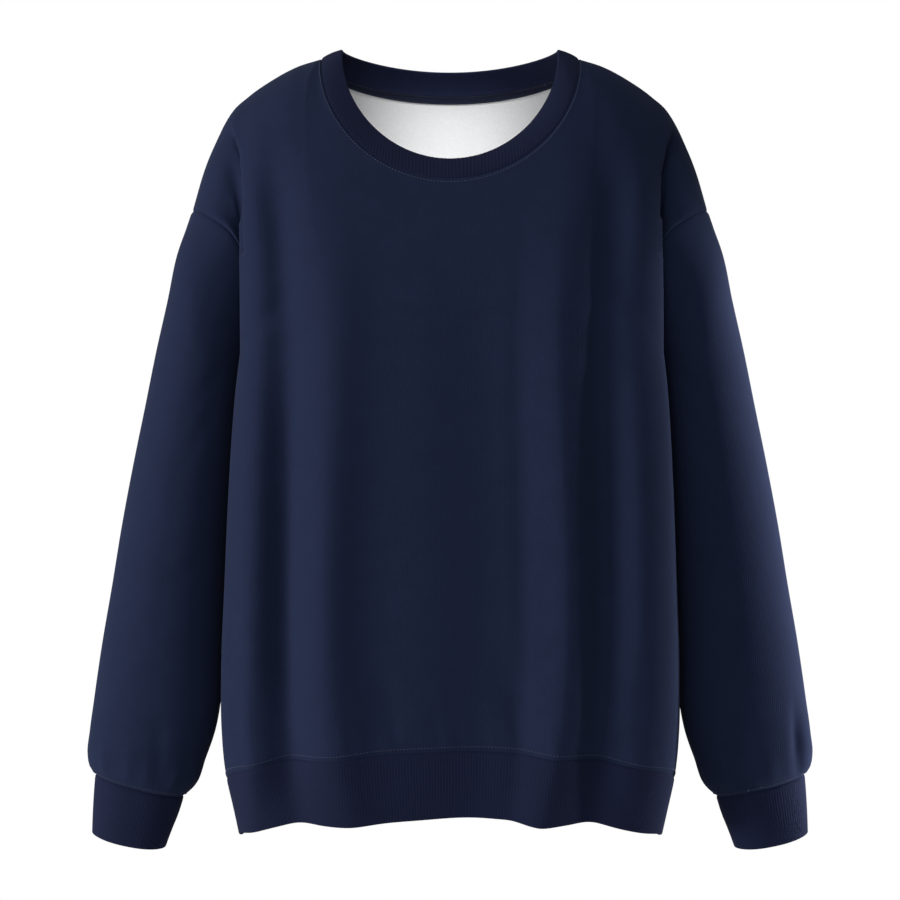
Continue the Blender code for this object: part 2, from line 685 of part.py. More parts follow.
# A ribbed band: its outer points are raised in ribs, over a plain inner face.
def make_band(name, rings, normals, mirrored=False):
    count = rings.shape[1]
    lengths = run_lengths(np.concatenate([rings[0], rings[0][:1]]))
    ribs = int(round(lengths[-1] / RIB_PITCH))
    even = np.arange(2 * ribs) * lengths[-1] / (2 * ribs)
    at = np.interp(even, lengths, np.arange(count + 1))
    furrow = np.where(np.arange(2 * ribs) % 2 == 1, RIB_RELIEF, 0.0)[:, None]
    points = []
    outer_rings = []
    seam = draw_in(rings[0], rings[1], normals[0], True)
    levels = (0, len(rings) - 2, len(rings) - 1)
    for level in levels:
        straight = level == 0
        face = ring_points(seam if straight else rings[level], at, straight)
        out = unit(ring_points(normals[level], at, straight))
        depth = EDGE_ROUNDING if level == levels[-1] else furrow
        outer_rings.append(list(range(len(points), len(points) + len(at))))
        points.extend(face - out * depth)
    inner_rings = []
    for level in range(len(rings)):
        face = rings[level] - normals[level] * BAND_WALL
        if level == 0:
            face = seam - normals[0] * BAND_WALL
        if level == len(rings) - 1:
            face = rings[level] - normals[level] * (BAND_WALL - EDGE_ROUNDING)
        inner_rings.append(list(range(len(points), len(points) + count)))
        points.extend(face)
    faces = []
    for upper, lower in zip(outer_rings, outer_rings[1:]):
        for i in range(len(at)):
            j = (i + 1) % len(at)
            faces.append((upper[i], upper[j], lower[j], lower[i]))
    for upper, lower in zip(inner_rings, inner_rings[1:]):
        for i in range(count):
            j = (i + 1) % count
            faces.append((upper[i], upper[j], lower[j], lower[i]))
    fine_shares = np.append(at, count)
    coarse_shares = np.arange(count + 1)
    for outer, inner in ((outer_rings[0], inner_rings[0]), (outer_rings[-1], inner_rings[-1])):
        faces += zip_faces(outer + outer[:1], inner + inner[:1], fine_shares, coarse_shares)
    return make_object(name, np.array(points), faces, NAVY_RIB, 0.85, mirrored)


# Rings of the neckband, from the neckline seam of both panels to its free edge.
def neckband_rings(front, back):
    first = ARMPIT_CELLS + SHOULDER_CELLS
    seam_front = front[0, first:len(front[0]) - first]
    seam_back = back[0, first:len(back[0]) - first]
    edges = []
    for side in ("front", "back"):
        half = collar_edge(side)
        edges.append(np.concatenate([half[::-1], half[1:] * MIRROR]))
    seam = np.concatenate([seam_front[:-1], seam_back[:0:-1]])
    edge = np.concatenate([edges[0][:-1], edges[1][:0:-1]])
    along = np.roll(seam, -1, axis=0) - np.roll(seam, 1, axis=0)
    swell = unit(np.cross(along, edge - seam))
    rings = []
    for share in COLLAR_RINGS:
        rings.append(seam + (edge - seam) * share + swell * COLLAR_SWELL * np.sin(np.pi * share))
    return np.array(rings)


# The tape follows the inner face of the back panel just below the neckline.
def make_neck_tape(back, normals):
    first = ARMPIT_CELLS + SHOULDER_CELLS
    keep = slice(first + 1, back.shape[1] - first - 1)
    inner = back[:2, keep] - normals[:2, keep] * BODY_WALL
    fall = np.linalg.norm(inner[1] - inner[0], axis=1, keepdims=True)
    near = []
    far = []
    for distance in (TAPE_DROP, TAPE_DROP + TAPE_WIDTH / 2, TAPE_DROP + TAPE_WIDTH):
        share = distance / fall
        point = inner[0] * (1 - share) + inner[1] * share
        normal = unit(normals[0, keep] * (1 - share) + normals[1, keep] * share)
        near.append(point - normal * TAPE_CLEARANCE)
        far.append(point - normal * (TAPE_CLEARANCE + TAPE_WALL))
    near = np.array(near)
    points = np.concatenate([near.reshape(-1, 3), np.array(far).reshape(-1, 3)])
    faces = wall_faces(points, near.shape[0], near.shape[1], False)
    return make_object("neck_tape", points, faces, NAVY_TAPE, 0.85)


# A panel with its wall, drawn in along every seam.
def make_panel(name, face, normals):
    outer = face.copy()
    outer[0] = draw_in(face[0], face[1], normals[0])
    outer[-1] = draw_in(face[-1], face[-2], normals[-1])
    outer[:, 0] += draw_in(face[:, 0], face[:, 1], normals[:, 0]) - face[:, 0]
    outer[:, -1] += draw_in(face[:, -1], face[:, -2], normals[:, -1]) - face[:, -1]
    inner = outer - normals * BODY_WALL
    points = np.concatenate([outer.reshape(-1, 3), inner.reshape(-1, 3)])
    faces = wall_faces(points, face.shape[0], face.shape[1], False)
    return make_object(name, points, faces, NAVY, 0.9)


def make_sleeve(name, face, normals, mirrored):
    outer = face.copy()
    outer[0] = draw_in(face[0], face[1], normals[0], True)
    outer[-1] = draw_in(face[-1], face[-2], normals[-1], True)
    inner = outer - normals * BODY_WALL
    points = np.concatenate([outer.reshape(-1, 3), inner.reshape(-1, 3)])
    faces = wall_faces(points, face.shape[0], face.shape[1], True)
    return make_object(name, points, faces, NAVY, 0.9, mirrored)


def cuff_rings(seam):
    angles = sleeve_angles()
    rings = [seam]
    for row in CUFF:
        rings.append(sleeve_section(row, angles, CUFF_DROOP))
    last = rings[-1]
    rings.insert(-1, rings[-2] + (last - rings[-2]) * CUFF_EDGE_SHARE)
    return np.array(rings)


def build_sweatshirt():
    front = panel_face("front")
    back = panel_face("back")
    sleeve = sleeve_face()
    collar = neckband_rings(front, back)
    hem = np.array([hem_ring(share, front[-1], back[-1]) for share in HEM_RINGS])
    cuff = cuff_rings(sleeve[-1])

    front_normals = face_normals(front, False)
    back_normals = -face_normals(back, False)
    sleeve_normals = face_normals(sleeve, True)
    collar_normals = -face_normals(collar, True)
    hem_normals = face_normals(hem, True)
    cuff_normals = face_normals(cuff, True)

    whole = slice(None)
    sides = ((0, whole), (-1, whole), (whole, 0), (whole, -1))
    seams = SeamNormals()
    for face, normals in ((front, front_normals), (back, back_normals)):
        for edge in sides:
            seams.add(face[edge], normals[edge])
    corners = [0, YOKE_CELLS]
    for flip in (np.ones(3), MIRROR):
        seams.add(sleeve[0] * flip, sleeve_normals[0] * flip)
        seams.add(sleeve[0, corners] * flip, sleeve_normals[0, corners] * flip)
    seams.add(sleeve[-1], sleeve_normals[-1])
    seams.add(collar[0], collar_normals[0])
    seams.add(hem[0], hem_normals[0])
    seams.add(cuff[0], cuff_normals[0])
    seams.soften(collar[0])
    for face, normals in ((front, front_normals), (back, back_normals)):
        for edge in sides:
            seams.use(face[edge], normals[edge])
    seams.use(sleeve[0], sleeve_normals[0])
    seams.use(sleeve[-1], sleeve_normals[-1])
    for rings, normals in ((collar, collar_normals), (hem, hem_normals), (cuff, cuff_normals)):
        seams.use(rings[0], normals[0])

    make_panel("body_front", front, front_normals)
    make_panel("body_back", back, back_normals)
    make_sleeve("sleeve_left", sleeve, sleeve_normals, True)
    make_sleeve("sleeve_right", sleeve, sleeve_normals, False)
    make_band("neckband", collar, collar_normals)
    make_band("hem_band", hem, hem_normals)
    make_band("cuff_left", cuff, cuff_normals, True)
    make_band("cuff_right", cuff, cuff_normals)
    make_neck_tape(back, back_normals)


remove_old_objects()
build_sweatshirt()
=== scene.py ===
import bpy
import bmesh
import numpy as np
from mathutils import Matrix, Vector
from mathutils.kdtree import KDTree


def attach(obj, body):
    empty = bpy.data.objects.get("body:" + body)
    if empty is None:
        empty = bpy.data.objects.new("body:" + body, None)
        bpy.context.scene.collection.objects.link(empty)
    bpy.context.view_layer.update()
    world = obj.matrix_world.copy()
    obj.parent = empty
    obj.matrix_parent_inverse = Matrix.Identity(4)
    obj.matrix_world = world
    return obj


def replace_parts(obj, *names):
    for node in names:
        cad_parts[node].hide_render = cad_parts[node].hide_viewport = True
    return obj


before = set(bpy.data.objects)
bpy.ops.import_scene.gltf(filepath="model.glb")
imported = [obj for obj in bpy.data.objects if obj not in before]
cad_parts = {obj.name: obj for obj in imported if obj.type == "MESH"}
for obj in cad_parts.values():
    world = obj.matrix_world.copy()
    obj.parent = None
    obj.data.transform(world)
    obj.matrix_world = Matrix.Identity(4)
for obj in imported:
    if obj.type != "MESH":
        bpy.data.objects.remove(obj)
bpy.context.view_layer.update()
print("frame loaded:", len(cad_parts), "nodes")

# Navy crewneck sweatshirt, white on the reverse, filled out as when worn.
# Tables are in millimetres, +Z up and -Y to the front, from the base of the neck.
# They give the -X half, which the +X half mirrors apart from the folds and creases.

mm = 0.001
mirrorX = np.array([-1.0, 1.0, 1.0])
straightDown = np.array([0.0, 0.0, -1.0])

studio = {
    "cameraDistance": 2.6,
    "cameraHeight": -0.358,
    "lens": 113.0,
    "backdrop": (1.0, 1.0, 1.0),
    "ambient": 0.18,
    "ambientColour": (0.96, 0.98, 1.0),
    "lampsAim": (0.0, 0.0, -0.36),
    "lamps": (      # name, place, size, watts, colour
        ("key", (-3.75, -1.2, -0.42), 1.8, 176.0, (1.0, 0.99, 0.97)),
        ("front", (-0.3, -3.0, -0.3), 1.6, 21.0, (0.98, 0.99, 1.0)),
        ("top", (0.0, -0.6, 1.7), 1.0, 10.0, (1.0, 1.0, 1.0)),
    ),
    "sleeveLamp": {"place": (0.85, 0.02, -0.45), "width": 0.13, "height": 0.56, "spread": 16.0,
                   "watts": 0.8},
    "neckLamp": {"place": (0.0, -1.5, 0.8), "aim": (0.0, 0.1, -0.08), "watts": 148.0,
                 "cone": 6.5, "stretch": 1.1, "softness": 0.05},
    "floor": {"height": -1.15, "radius": 2.2, "sides": 96, "colour": (0.82, 0.82, 0.82),
              "roughness": 0.95},
}


def pointAt(obj, target):
    obj.rotation_euler = (Vector(target) - obj.location).to_track_quat("-Z", "Y").to_euler()


def makeCamera():
    scene = bpy.context.scene
    scene.view_settings.view_transform = "Standard"
    camera = bpy.data.objects.new("camera", bpy.data.cameras.new("camera"))
    scene.collection.objects.link(camera)
    camera.location = (0.0, -studio["cameraDistance"], studio["cameraHeight"])
    camera.data.lens = studio["lens"]
    pointAt(camera, (0.0, 0.0, studio["cameraHeight"]))
    scene.camera = camera


def makeWorld():
    world = bpy.data.worlds.new("studio")
    bpy.context.scene.world = world
    world.use_nodes = True
    nodes, links = world.node_tree.nodes, world.node_tree.links
    nodes.clear()
    seen = nodes.new("ShaderNodeBackground")       # what the camera sees behind the garment
    seen.inputs["Color"].default_value = (*studio["backdrop"], 1.0)
    soft = nodes.new("ShaderNodeBackground")       # the soft light all round
    soft.inputs["Color"].default_value = (*studio["ambientColour"], 1.0)
    soft.inputs["Strength"].default_value = studio["ambient"]
    path = nodes.new("ShaderNodeLightPath")
    mix = nodes.new("ShaderNodeMixShader")
    out = nodes.new("ShaderNodeOutputWorld")
    links.new(path.outputs["Is Camera Ray"], mix.inputs["Fac"])
    links.new(soft.outputs["Background"], mix.inputs[1])
    links.new(seen.outputs["Background"], mix.inputs[2])
    links.new(mix.outputs["Shader"], out.inputs["Surface"])


def addLamp(name, kind, place, watts):
    lamp = bpy.data.lights.new(name, kind)
    lamp.energy = watts
    obj = bpy.data.objects.new(name, lamp)
    bpy.context.scene.collection.objects.link(obj)
    obj.location = place
    return obj, lamp


def makeLamps():
    for name, place, size, watts, colour in studio["lamps"]:
        obj, lamp = addLamp(name, "AREA", place, watts)
        lamp.shape = "DISK"
        lamp.size = size
        lamp.color = colour
        pointAt(obj, studio["lampsAim"])
    sizes = studio["sleeveLamp"]                   # a tall narrow strip beside the sleeve
    obj, strip = addLamp("sleeveLamp", "AREA", sizes["place"], sizes["watts"])
    strip.shape = "RECTANGLE"
    strip.size, strip.size_y = sizes["height"], sizes["width"]
    strip.spread = np.radians(sizes["spread"])
    obj.rotation_euler = (0.0, np.radians(90.0), 0.0)
    sizes = studio["neckLamp"]                     # a small soft spot into the neck
    obj, spot = addLamp("neckLamp", "SPOT", sizes["place"], sizes["watts"])
    spot.spot_size = np.radians(sizes["cone"])
    spot.spot_blend = 1.0
    spot.shadow_soft_size = sizes["softness"]
    pointAt(obj, sizes["aim"])
    obj.scale = (sizes["stretch"], 1.0, 1.0)       # wider than it is tall


def makeFloor():
    sizes = studio["floor"]
    bpy.ops.object.select_all(action="DESELECT")
    bpy.ops.mesh.primitive_circle_add(vertices=sizes["sides"], radius=sizes["radius"],
                                      fill_type="NGON", location=(0.0, 0.0, sizes["height"]))
    floor = bpy.context.object
    floor.name = "floor"
    material = bpy.data.materials.new("paleFloor")
    material.use_nodes = True
    shader = material.node_tree.nodes["Principled BSDF"]
    shader.inputs["Base Color"].default_value = (*sizes["colour"], 1.0)
    shader.inputs["Roughness"].default_value = sizes["roughness"]
    floor.data.materials.append(material)


makeCamera()
makeWorld()
makeLamps()
makeFloor()
print("camera, lamps and floor ready")

curveSteps = 400       # points along a curve when its length is measured


def knotSlopes(knots, values):
    steps = np.diff(knots)
    rises = np.diff(values, axis=0) / steps.reshape(-1, *([1] * (values.ndim - 1)))
    slopes = np.empty_like(values)
    slopes[0], slopes[-1] = rises[0], rises[-1]
    for i in range(1, len(knots) - 1):
        before, after = steps[i - 1], steps[i]
        slopes[i] = (rises[i - 1] * after + rises[i] * before) / (before + after)
    return slopes


def smoothValues(knots, values, at):     # a smooth curve through the knots
    knots, values = np.asarray(knots, float), np.asarray(values, float)
    at = np.clip(np.atleast_1d(np.asarray(at, float)), knots[0], knots[-1])
    slopes = knotSlopes(knots, values)
    cell = np.clip(np.searchsorted(knots, at, side="right") - 1, 0, len(knots) - 2)
    shape = (-1,) + (1,) * (values.ndim - 1)
    step = knots[cell + 1] - knots[cell]
    t = ((at - knots[cell]) / step).reshape(shape)
    step = step.reshape(shape)
    return ((2 * t**3 - 3 * t**2 + 1) * values[cell]
            + (t**3 - 2 * t**2 + t) * step * slopes[cell]
            + (3 * t**2 - 2 * t**3) * values[cell + 1]
            + (t**3 - t**2) * step * slopes[cell + 1])


def runLengths(points):
    return np.concatenate(([0.0], np.cumsum(np.linalg.norm(np.diff(points, axis=0), axis=1))))


def evenPoints(points, shares):
    points = np.asarray(points, float)
    lengths = runLengths(points)
    steps = np.linspace(0.0, lengths[-1], curveSteps)
    fineLengths = runLengths(smoothValues(lengths, points, steps))
    at = np.interp(np.asarray(shares) * fineLengths[-1], fineLengths, steps)
    return smoothValues(lengths, points, at)


def unit(vectors):
    return vectors / np.maximum(np.linalg.norm(vectors, axis=-1, keepdims=True), 1e-9)


def signedPower(value, power):
    return np.sign(value) * np.abs(value) ** power


def eased(share):       # from 0 to 1, slow at both ends
    return share * share * (3 - 2 * share)


def withFirst(values):       # a ring with its first point again at the end
    return np.concatenate([values, values[:1]])


def joinedRing(front, back):      # two lines that share both ends
    return np.concatenate([front[:-1], back[:0:-1]])


def bothHalves(half):       # columns from the centre out, mirrored to the other side
    return np.concatenate([half[..., ::-1, :], half[..., 1:, :] * mirrorX], axis=-2)


def blended(shares, first, last):
    return (1 - shares[:, None]) * first + shares[:, None] * last


rowsAtSeams = {"gaps": (0.5, 1.0, 1.6, 2.4, 3.4, 4.8), "least": 0.35}


def spacedShares(count, length, atStart=False, atEnd=False):   # closer together at a seam
    shares = set(np.round(np.linspace(0.0, 1.0, count + 1), 6))
    for gap in rowsAtSeams["gaps"]:
        if atStart:
            shares.add(round(gap / length, 6))
        if atEnd:
            shares.add(round(1.0 - gap / length, 6))
    shares = sorted(shares)
    least = rowsAtSeams["least"] / length
    kept = [shares[0]]
    for share in shares[1:]:
        if share - kept[-1] > least:
            kept.append(share)
    kept[-1] = 1.0
    return np.array(kept)


# The body's front and back panels.

body = {
    "wall": 2.0,
    "seamPlane": 8.0,
    "neckHalfWidth": 119.0,
    "neckTop": 3.0,
    "neckDrop": {"front": (119.0, 1.0), "back": (24.0, 1.2)},      # drop, power
    "shoulder": ((119, 3), (140, -3.6), (164, -16.3), (186, -31.6), (201, -45.6),
                 (215, -70.6), (228, -102.5), (238.3, -138)),            # out, height
    "shoulderAtFold": 193.0,
    "armhole": ((238.3, 0, -138), (231.5, 24, -140), (218.5, 41, -147), (200, 48, -160),
                (186.5, 45, -185), (181.5, 35, -222), (180, 19, -255), (180, 0, -270)),
    "armholeFullness": {"front": -1.0, "back": 1.04},
    "underarm": -270.0,
    "torsoColumns": ("height", "halfWidth", "front", "back", "press"),
    "torso": (
        (-270.0, 193.0, 113.0, 120.0, 13.0),
        (-300.0, 197.5, 113.0, 119.0, 17.0),
        (-330.0, 200.5, 112.5, 118.0, 17.0),
        (-400.0, 205.0, 111.0, 114.0, 14.0),
        (-480.0, 208.5, 108.5, 110.0, 11.0),
        (-560.0, 211.2, 106.0, 106.0, 7.5),
        (-610.0, 210.3, 103.5, 103.0, 4.0),
        (-655.0, 205.5, 100.0, 99.0, 2.0),
        (-685.0, 198.3, 96.0, 95.0, 1.0),
        (-712.0, 191.8, 92.0, 91.0, 0.0),
    ),
    "pressSpread": 34.0,
    "sectionPower": {"front": 3.8, "back": 2.8},
    "typicalSection": (200.0, 112.0),
    "profile": {   # slope, centre slope, centre out, centre up, reach
        "front": (0.3, 0.3, 0.0, 0.0, 0.98),
        "back": (0.24, 0.1, 6.0, 10.5, 1.1),
    },
    "fall": 0.9,
    "lean": 80.0,
    "neckShare": 0.46,
    "foldShare": 0.77,
    "foldFade": 0.8,
    "foldCalm": 0.25,
    "notch": (5.0, 0.36, 0.22, 1.5),      # crease before the sleeve: depth, place, spread, fade
    "armpitCrowding": 0.15,
    # height at the side, rise to the centre, how much and how far the rise eases off
    "hemSeam": (-668.0, {"front": 41.0, "back": 28.0}, (0.6, 0.12)),
    "hemEdge": (-711.8, {"front": 22.8, "back": 11.8}, (0.85, 0.18)),
    "hemRisePower": 0.8,
    "hemTip": 0.02,
    "hemWave": (0.25, 0.75),      # drop per millimetre of fold at the seam and at the edge
    "hemCalm": 0.2,
    "steadied": 16,
    "foldHeights": (-80.0, -230.0, -640.0, -713.0),
    "folds": {   # x at the four heights, how far out at each, spread, roundness of the crest
        "front": (
            ((-172.0, -176.0, -177.0, -177.0), (0.0, 3.0, 5.0, 4.0), 13.0, 2.0),
            ((-158.0, -150.0, -145.0, -134.0), (-4.0, -9.0, -11.0, -4.0), 18.0, 2.0),
            ((-103.0, -101.0, -98.0, -84.0), (0.0, 5.0, 7.4, 4.2), 25.0, 1.9),
            ((24.0, 30.0, 28.0, 14.0), (0.0, -3.4, -6.0, -5.0), 43.0, 2.0),
            ((66.0, 62.0, 60.0, 52.0), (0.0, -1.0, -1.5, -1.0), 10.0, 2.0),
            ((104.0, 97.0, 92.0, 75.0), (0.0, 5.0, 7.6, 7.0), 20.0, 1.8),
            ((138.0, 135.5, 133.0, 124.0), (-2.0, -6.2, -7.0, -5.0), 16.5, 2.0),
            ((180.0, 175.0, 174.0, 174.0), (0.0, 7.0, 8.5, 5.0), 23.0, 2.0),
        ),
        "back": (
            ((-130.0, -108.0, -112.0, -112.0), (0.0, 5.0, 10.0, 9.0), 24.0, 2.0),
            ((-60.0, -48.0, -45.0, -45.0), (0.0, -2.0, -6.0, -5.0), 26.0, 2.0),
            ((30.0, 22.0, 18.0, 18.0), (0.0, 3.0, 9.0, 8.0), 24.0, 1.6),
            ((90.0, 78.0, 75.0, 75.0), (0.0, -3.0, -6.0, -5.0), 22.0, 2.0),
            ((135.0, 120.0, 125.0, 125.0), (0.0, 5.0, 9.0, 8.0), 22.0, 1.6),
        ),
    },
    "cells": {"collar": 40, "shoulder": 26, "armpit": 22, "yoke": 66, "body": 88},
    "lengths": {"armpit": 62.0, "yoke": 260.0, "body": 385.0},      # to place the rows at seams
    "pace": (12, 9),           # of the folds, above and below the underarm
    "seamDip": {"top": (1.0, 1.7), "hem": (1.4, 2.8), "side": (1.4, 1.6)},   # depth, width
    "sideDipEase": (0.5, 30.0),      # how much shallower the side's dip gets, over what height
    "gathers": {"pitch": 19.0, "depth": 0.45, "reach": 26.0},
    "gatherSeeds": {"front": 3, "back": 4},
}
outWay = {"front": -1.0, "back": 1.0}
panelNames = {"front": ("bodyFront", "body_front"), "back": ("bodyBack", "body_back")}

cells, lengths = body["cells"], body["lengths"]
collarAngles = np.linspace(0.0, np.pi / 2, cells["collar"] + 1)
shoulderShares = np.linspace(0.0, 1.0, cells["shoulder"] + 1)
armpitShares = spacedShares(cells["armpit"], lengths["armpit"], atEnd=True)
yokeShares = spacedShares(cells["yoke"], lengths["yoke"], atStart=True)
bodyShares = spacedShares(cells["body"], lengths["body"], atEnd=True)
columnShares = np.concatenate([
    collarAngles / (np.pi / 2) * body["neckShare"],
    body["neckShare"] + (body["foldShare"] - body["neckShare"]) * shoulderShares[1:],
])
allShares = np.concatenate([columnShares,
                            body["foldShare"] + (1 - body["foldShare"]) * armpitShares[1:]])


def shareAngles(side):     # section angle for each share of the way round a quarter
    power = 2.0 / body["sectionPower"][side]
    angles = np.linspace(0.0, np.pi / 2, curveSteps)
    across, depth = body["typicalSection"]
    lengths = runLengths(np.stack([across * np.sin(angles) ** power,
                                   depth * np.cos(angles) ** power], axis=1))
    return lengths / lengths[-1], angles


sectionAngles = {side: shareAngles(side) for side in ("front", "back")}


def torsoValue(name, heights):
    table = np.array(body["torso"])[::-1]
    return smoothValues(table[:, 0], table[:, body["torsoColumns"].index(name)], heights)


def torsoSection(side, shares, heights):
    heights = np.broadcast_to(np.asarray(heights, float), shares.shape)
    angles = np.interp(shares, *sectionAngles[side])
    power = 2.0 / body["sectionPower"][side]
    halfWidth, depth = torsoValue("halfWidth", heights), torsoValue(side, heights)
    toward = outWay[side]
    across, along = np.sin(angles) ** power, np.cos(angles) ** power
    y = toward * depth * along
    press = torsoValue("press", heights) * np.exp(-(y / body["pressSpread"]) ** 2)
    x = -halfWidth * across + press
    points = np.stack([x, body["seamPlane"] + y, heights], axis=1)
    rest = body["sectionPower"][side] - 1.0
    outward = np.stack([-across ** rest / halfWidth, toward * along ** rest / depth,
                        np.zeros_like(across)], axis=1)
    return points, unit(outward)


def foldRelief(side, points):
    heights = np.array(body["foldHeights"])[::-1]
    relief = np.zeros(len(points))
    for places, reliefs, spread, roundness in body["folds"][side]:
        x = smoothValues(heights, places[::-1], points[:, 2])
        out = smoothValues(heights, reliefs[::-1], points[:, 2])
        relief += out * np.exp(-np.abs((points[:, 0] - x) / spread) ** roundness)
    return relief


def shoulderPoints(distances):
    out, height = np.array(body["shoulder"], float).T
    z = smoothValues(out, height, distances)
    return np.stack([-distances, np.full_like(distances, body["seamPlane"]), z], axis=1)


def armholePoints(side, shares):
    fullness = body["armholeFullness"][side]
    points = [(-out, body["seamPlane"] + fullness * forward, height)
              for out, forward, height in body["armhole"]]
    return evenPoints(points, shares)


def profilePoints(at, first, firstWay, last, lastWay):
    t = at[:, None]
    return ((2 * t**3 - 3 * t**2 + 1) * first + (t**3 - 2 * t**2 + t) * firstWay
            + (3 * t**2 - 2 * t**3) * last + (t**3 - t**2) * lastWay)


def shareAtNeckline(side, path):
    drop, power = body["neckDrop"][side]
    inside = np.sqrt(np.clip(1.0 - (path[:, 0] / body["neckHalfWidth"]) ** 2, 0.0, 1.0))
    above = path[:, 2] - (body["neckTop"] - drop * inside ** power)
    place = np.argmax(above <= 0.0)
    if place == 0:
        return 0.0
    return (place + above[place] / (above[place - 1] - above[place])) / (len(path) - 1)


def yokeColumns(side, bottom):    # from the neckline or shoulder seam down to the underarm
    toward = outWay[side]
    sideSlope, centreSlope, centreOut, centreUp, reach = body["profile"][side]
    neck = body["neckHalfWidth"]
    spaced = neck + (body["shoulderAtFold"] - neck) * shoulderShares[1:]
    top = shoulderPoints(np.concatenate([neck * np.sin(collarAngles), spaced]))
    inside = np.concatenate([np.cos(collarAngles) ** 2, np.zeros(len(spaced))])
    top[:len(collarAngles), 2] = body["neckTop"]
    top[:, 1] += toward * centreOut * inside
    top[:, 2] += centreUp * inside
    slope = sideSlope + (centreSlope - sideSlope) * inside
    start = unit(np.stack([np.zeros_like(slope), np.full_like(slope, toward), -slope], axis=1))
    lean = np.concatenate([np.sin(collarAngles) ** 2, 1.0 - shoulderShares[1:]])
    lengths = np.linalg.norm(bottom - top, axis=1)
    fine = np.linspace(0.0, 1.0, curveSteps)
    columns = []
    for i in range(len(top)):
        firstWay = start[i] * lengths[i] * reach
        lastWay = straightDown * lengths[i] * body["fall"]
        first = 0.0
        if i < len(collarAngles) - 1:
            whole = profilePoints(fine, top[i], firstWay, bottom[i], lastWay)
            first = shareAtNeckline(side, whole)
        at = first + (1 - first) * yokeShares
        path = profilePoints(at, top[i], firstWay, bottom[i], lastWay)
        path[:, 0] -= body["lean"] * lean[i] * yokeShares * (1 - yokeShares) ** 2
        columns.append(path)
    return np.array(columns).transpose(1, 0, 2)


def armpitColumns(side, foldColumn, strip):    # between the fold and the armhole, creased
    toward = outWay[side]
    seam = armholePoints(side, yokeShares)
    across, atFold = armpitShares, body["shoulderAtFold"]
    spacing = across * (1 + body["armpitCrowding"] * (1 - across))
    top = shoulderPoints(atFold + spacing * (body["armhole"][0][0] - atFold))
    topBulge = top - blended(across, top[0], top[-1])
    stripBulge = strip - blended(across, strip[0], strip[-1])
    depth, place, spread, fade = body["notch"]
    notch = depth * np.exp(-((across - place) / spread) ** 2)
    rows = []
    for i, share in enumerate(yokeShares):
        ease = eased(share)
        row = blended(across, foldColumn[i], seam[i])
        row = row + (1 - ease) * topBulge + ease * stripBulge
        row[1:-1, 1] -= toward * notch[1:-1] * np.sin(np.pi * share) ** fade
        rows.append(row[1:])
    return np.array(rows)


def hemHeights(side, shares, sizes):       # the rise eases off toward the side seam
    height, rise, (level, reach) = sizes
    ease = 1.0 - level * np.exp(-((1 - shares) / reach) ** 2)
    ease = ease * (1.0 - np.exp(-((1 - shares) / body["hemTip"]) ** 2))
    return height + rise[side] * np.cos(shares * np.pi / 2) ** body["hemRisePower"] * ease


def calmAtSides():
    full = np.concatenate([allShares[::-1], allShares[1:]])
    return np.clip((1.0 - full) / body["foldCalm"], 0.0, 1.0)


def panelGrid(side):     # rows from the neck down to the hem seam, columns from -X to +X
    underarm = body["underarm"]
    bottom, outward = torsoSection(side, allShares, underarm)
    yoke = yokeColumns(side, bottom[:len(columnShares)])
    armpit = armpitColumns(side, yoke[:, -1], bottom[len(columnShares) - 1:])
    rows = [np.concatenate([yoke[i], armpit[i]]) for i in range(len(yokeShares))]
    ends = hemHeights(side, allShares, body["hemSeam"])
    for share in bodyShares[1:]:
        rows.append(torsoSection(side, allShares, underarm + (ends - underarm) * share)[0])
    full, directions = bothHalves(np.array(rows)), bothHalves(outward)
    calm = calmAtSides()
    above, below = body["pace"]
    paced = np.concatenate([yokeShares * above, above + bodyShares[1:] * below])
    for i in range(1, len(full)):
        fade = min(1.0, paced[i] / (above * body["foldFade"]))
        relief = foldRelief(side, full[i]) * fade * calm
        full[i] = full[i] + directions * relief[:, None]
        full[i, :, 2] -= body["hemWave"][0] * relief * (paced[i] / (above + below)) ** 2
    return full


def blurred(values, closed):
    padded = np.concatenate([values[:1], values, values[-1:]])
    values = (padded[:-2] + 2 * padded[1:-1] + padded[2:]) / 4
    if closed:
        return (np.roll(values, -1, axis=1) + 2 * values + np.roll(values, 1, axis=1)) / 4
    padded = np.concatenate([values[:, :1], values, values[:, -1:]], axis=1)
    return (padded[:, :-2] + 2 * padded[:, 1:-1] + padded[:, 2:]) / 4


def gridNormals(rows, closed, turn=1.0, steadied=0):      # larger faces count for more
    downWay = np.gradient(rows, axis=0)
    if closed:
        along = np.roll(rows, -1, axis=1) - np.roll(rows, 1, axis=1)
    else:
        along = np.gradient(rows, axis=1)
    out = np.cross(downWay, along) * turn
    for _ in range(steadied):
        out = blurred(out, closed)
    return unit(out)


def lengthsDown(rows):
    steps = np.linalg.norm(np.diff(rows, axis=0), axis=2)
    return np.concatenate([np.zeros((1, rows.shape[1])), np.cumsum(steps, axis=0)])


def lengthsAlong(rows):
    steps = np.linalg.norm(np.diff(rows, axis=1), axis=2)
    return np.concatenate([np.zeros((rows.shape[0], 1)), np.cumsum(steps, axis=1)], axis=1)


seams = {"blend": 3.5, "reach": 2.0, "step": 0.4, "calm": 6.0, "roundness": 1.6}


def dip(distance, sizes):      # how far the cloth rolls in at a seam
    depth, width = sizes
    return depth * np.exp(-(distance / width) ** seams["roundness"])


seamEdges = {}


def edgeLines(grid, normals):
    return [(grid[0], normals[0]), (grid[-1], normals[-1]),
            (grid[:, 0], normals[:, 0]), (grid[:, -1], normals[:, -1])]


def ringLine(points, normals, flip=1.0):
    turned = np.array([flip, 1.0, 1.0])
    return withFirst(points) * turned, withFirst(normals) * turned


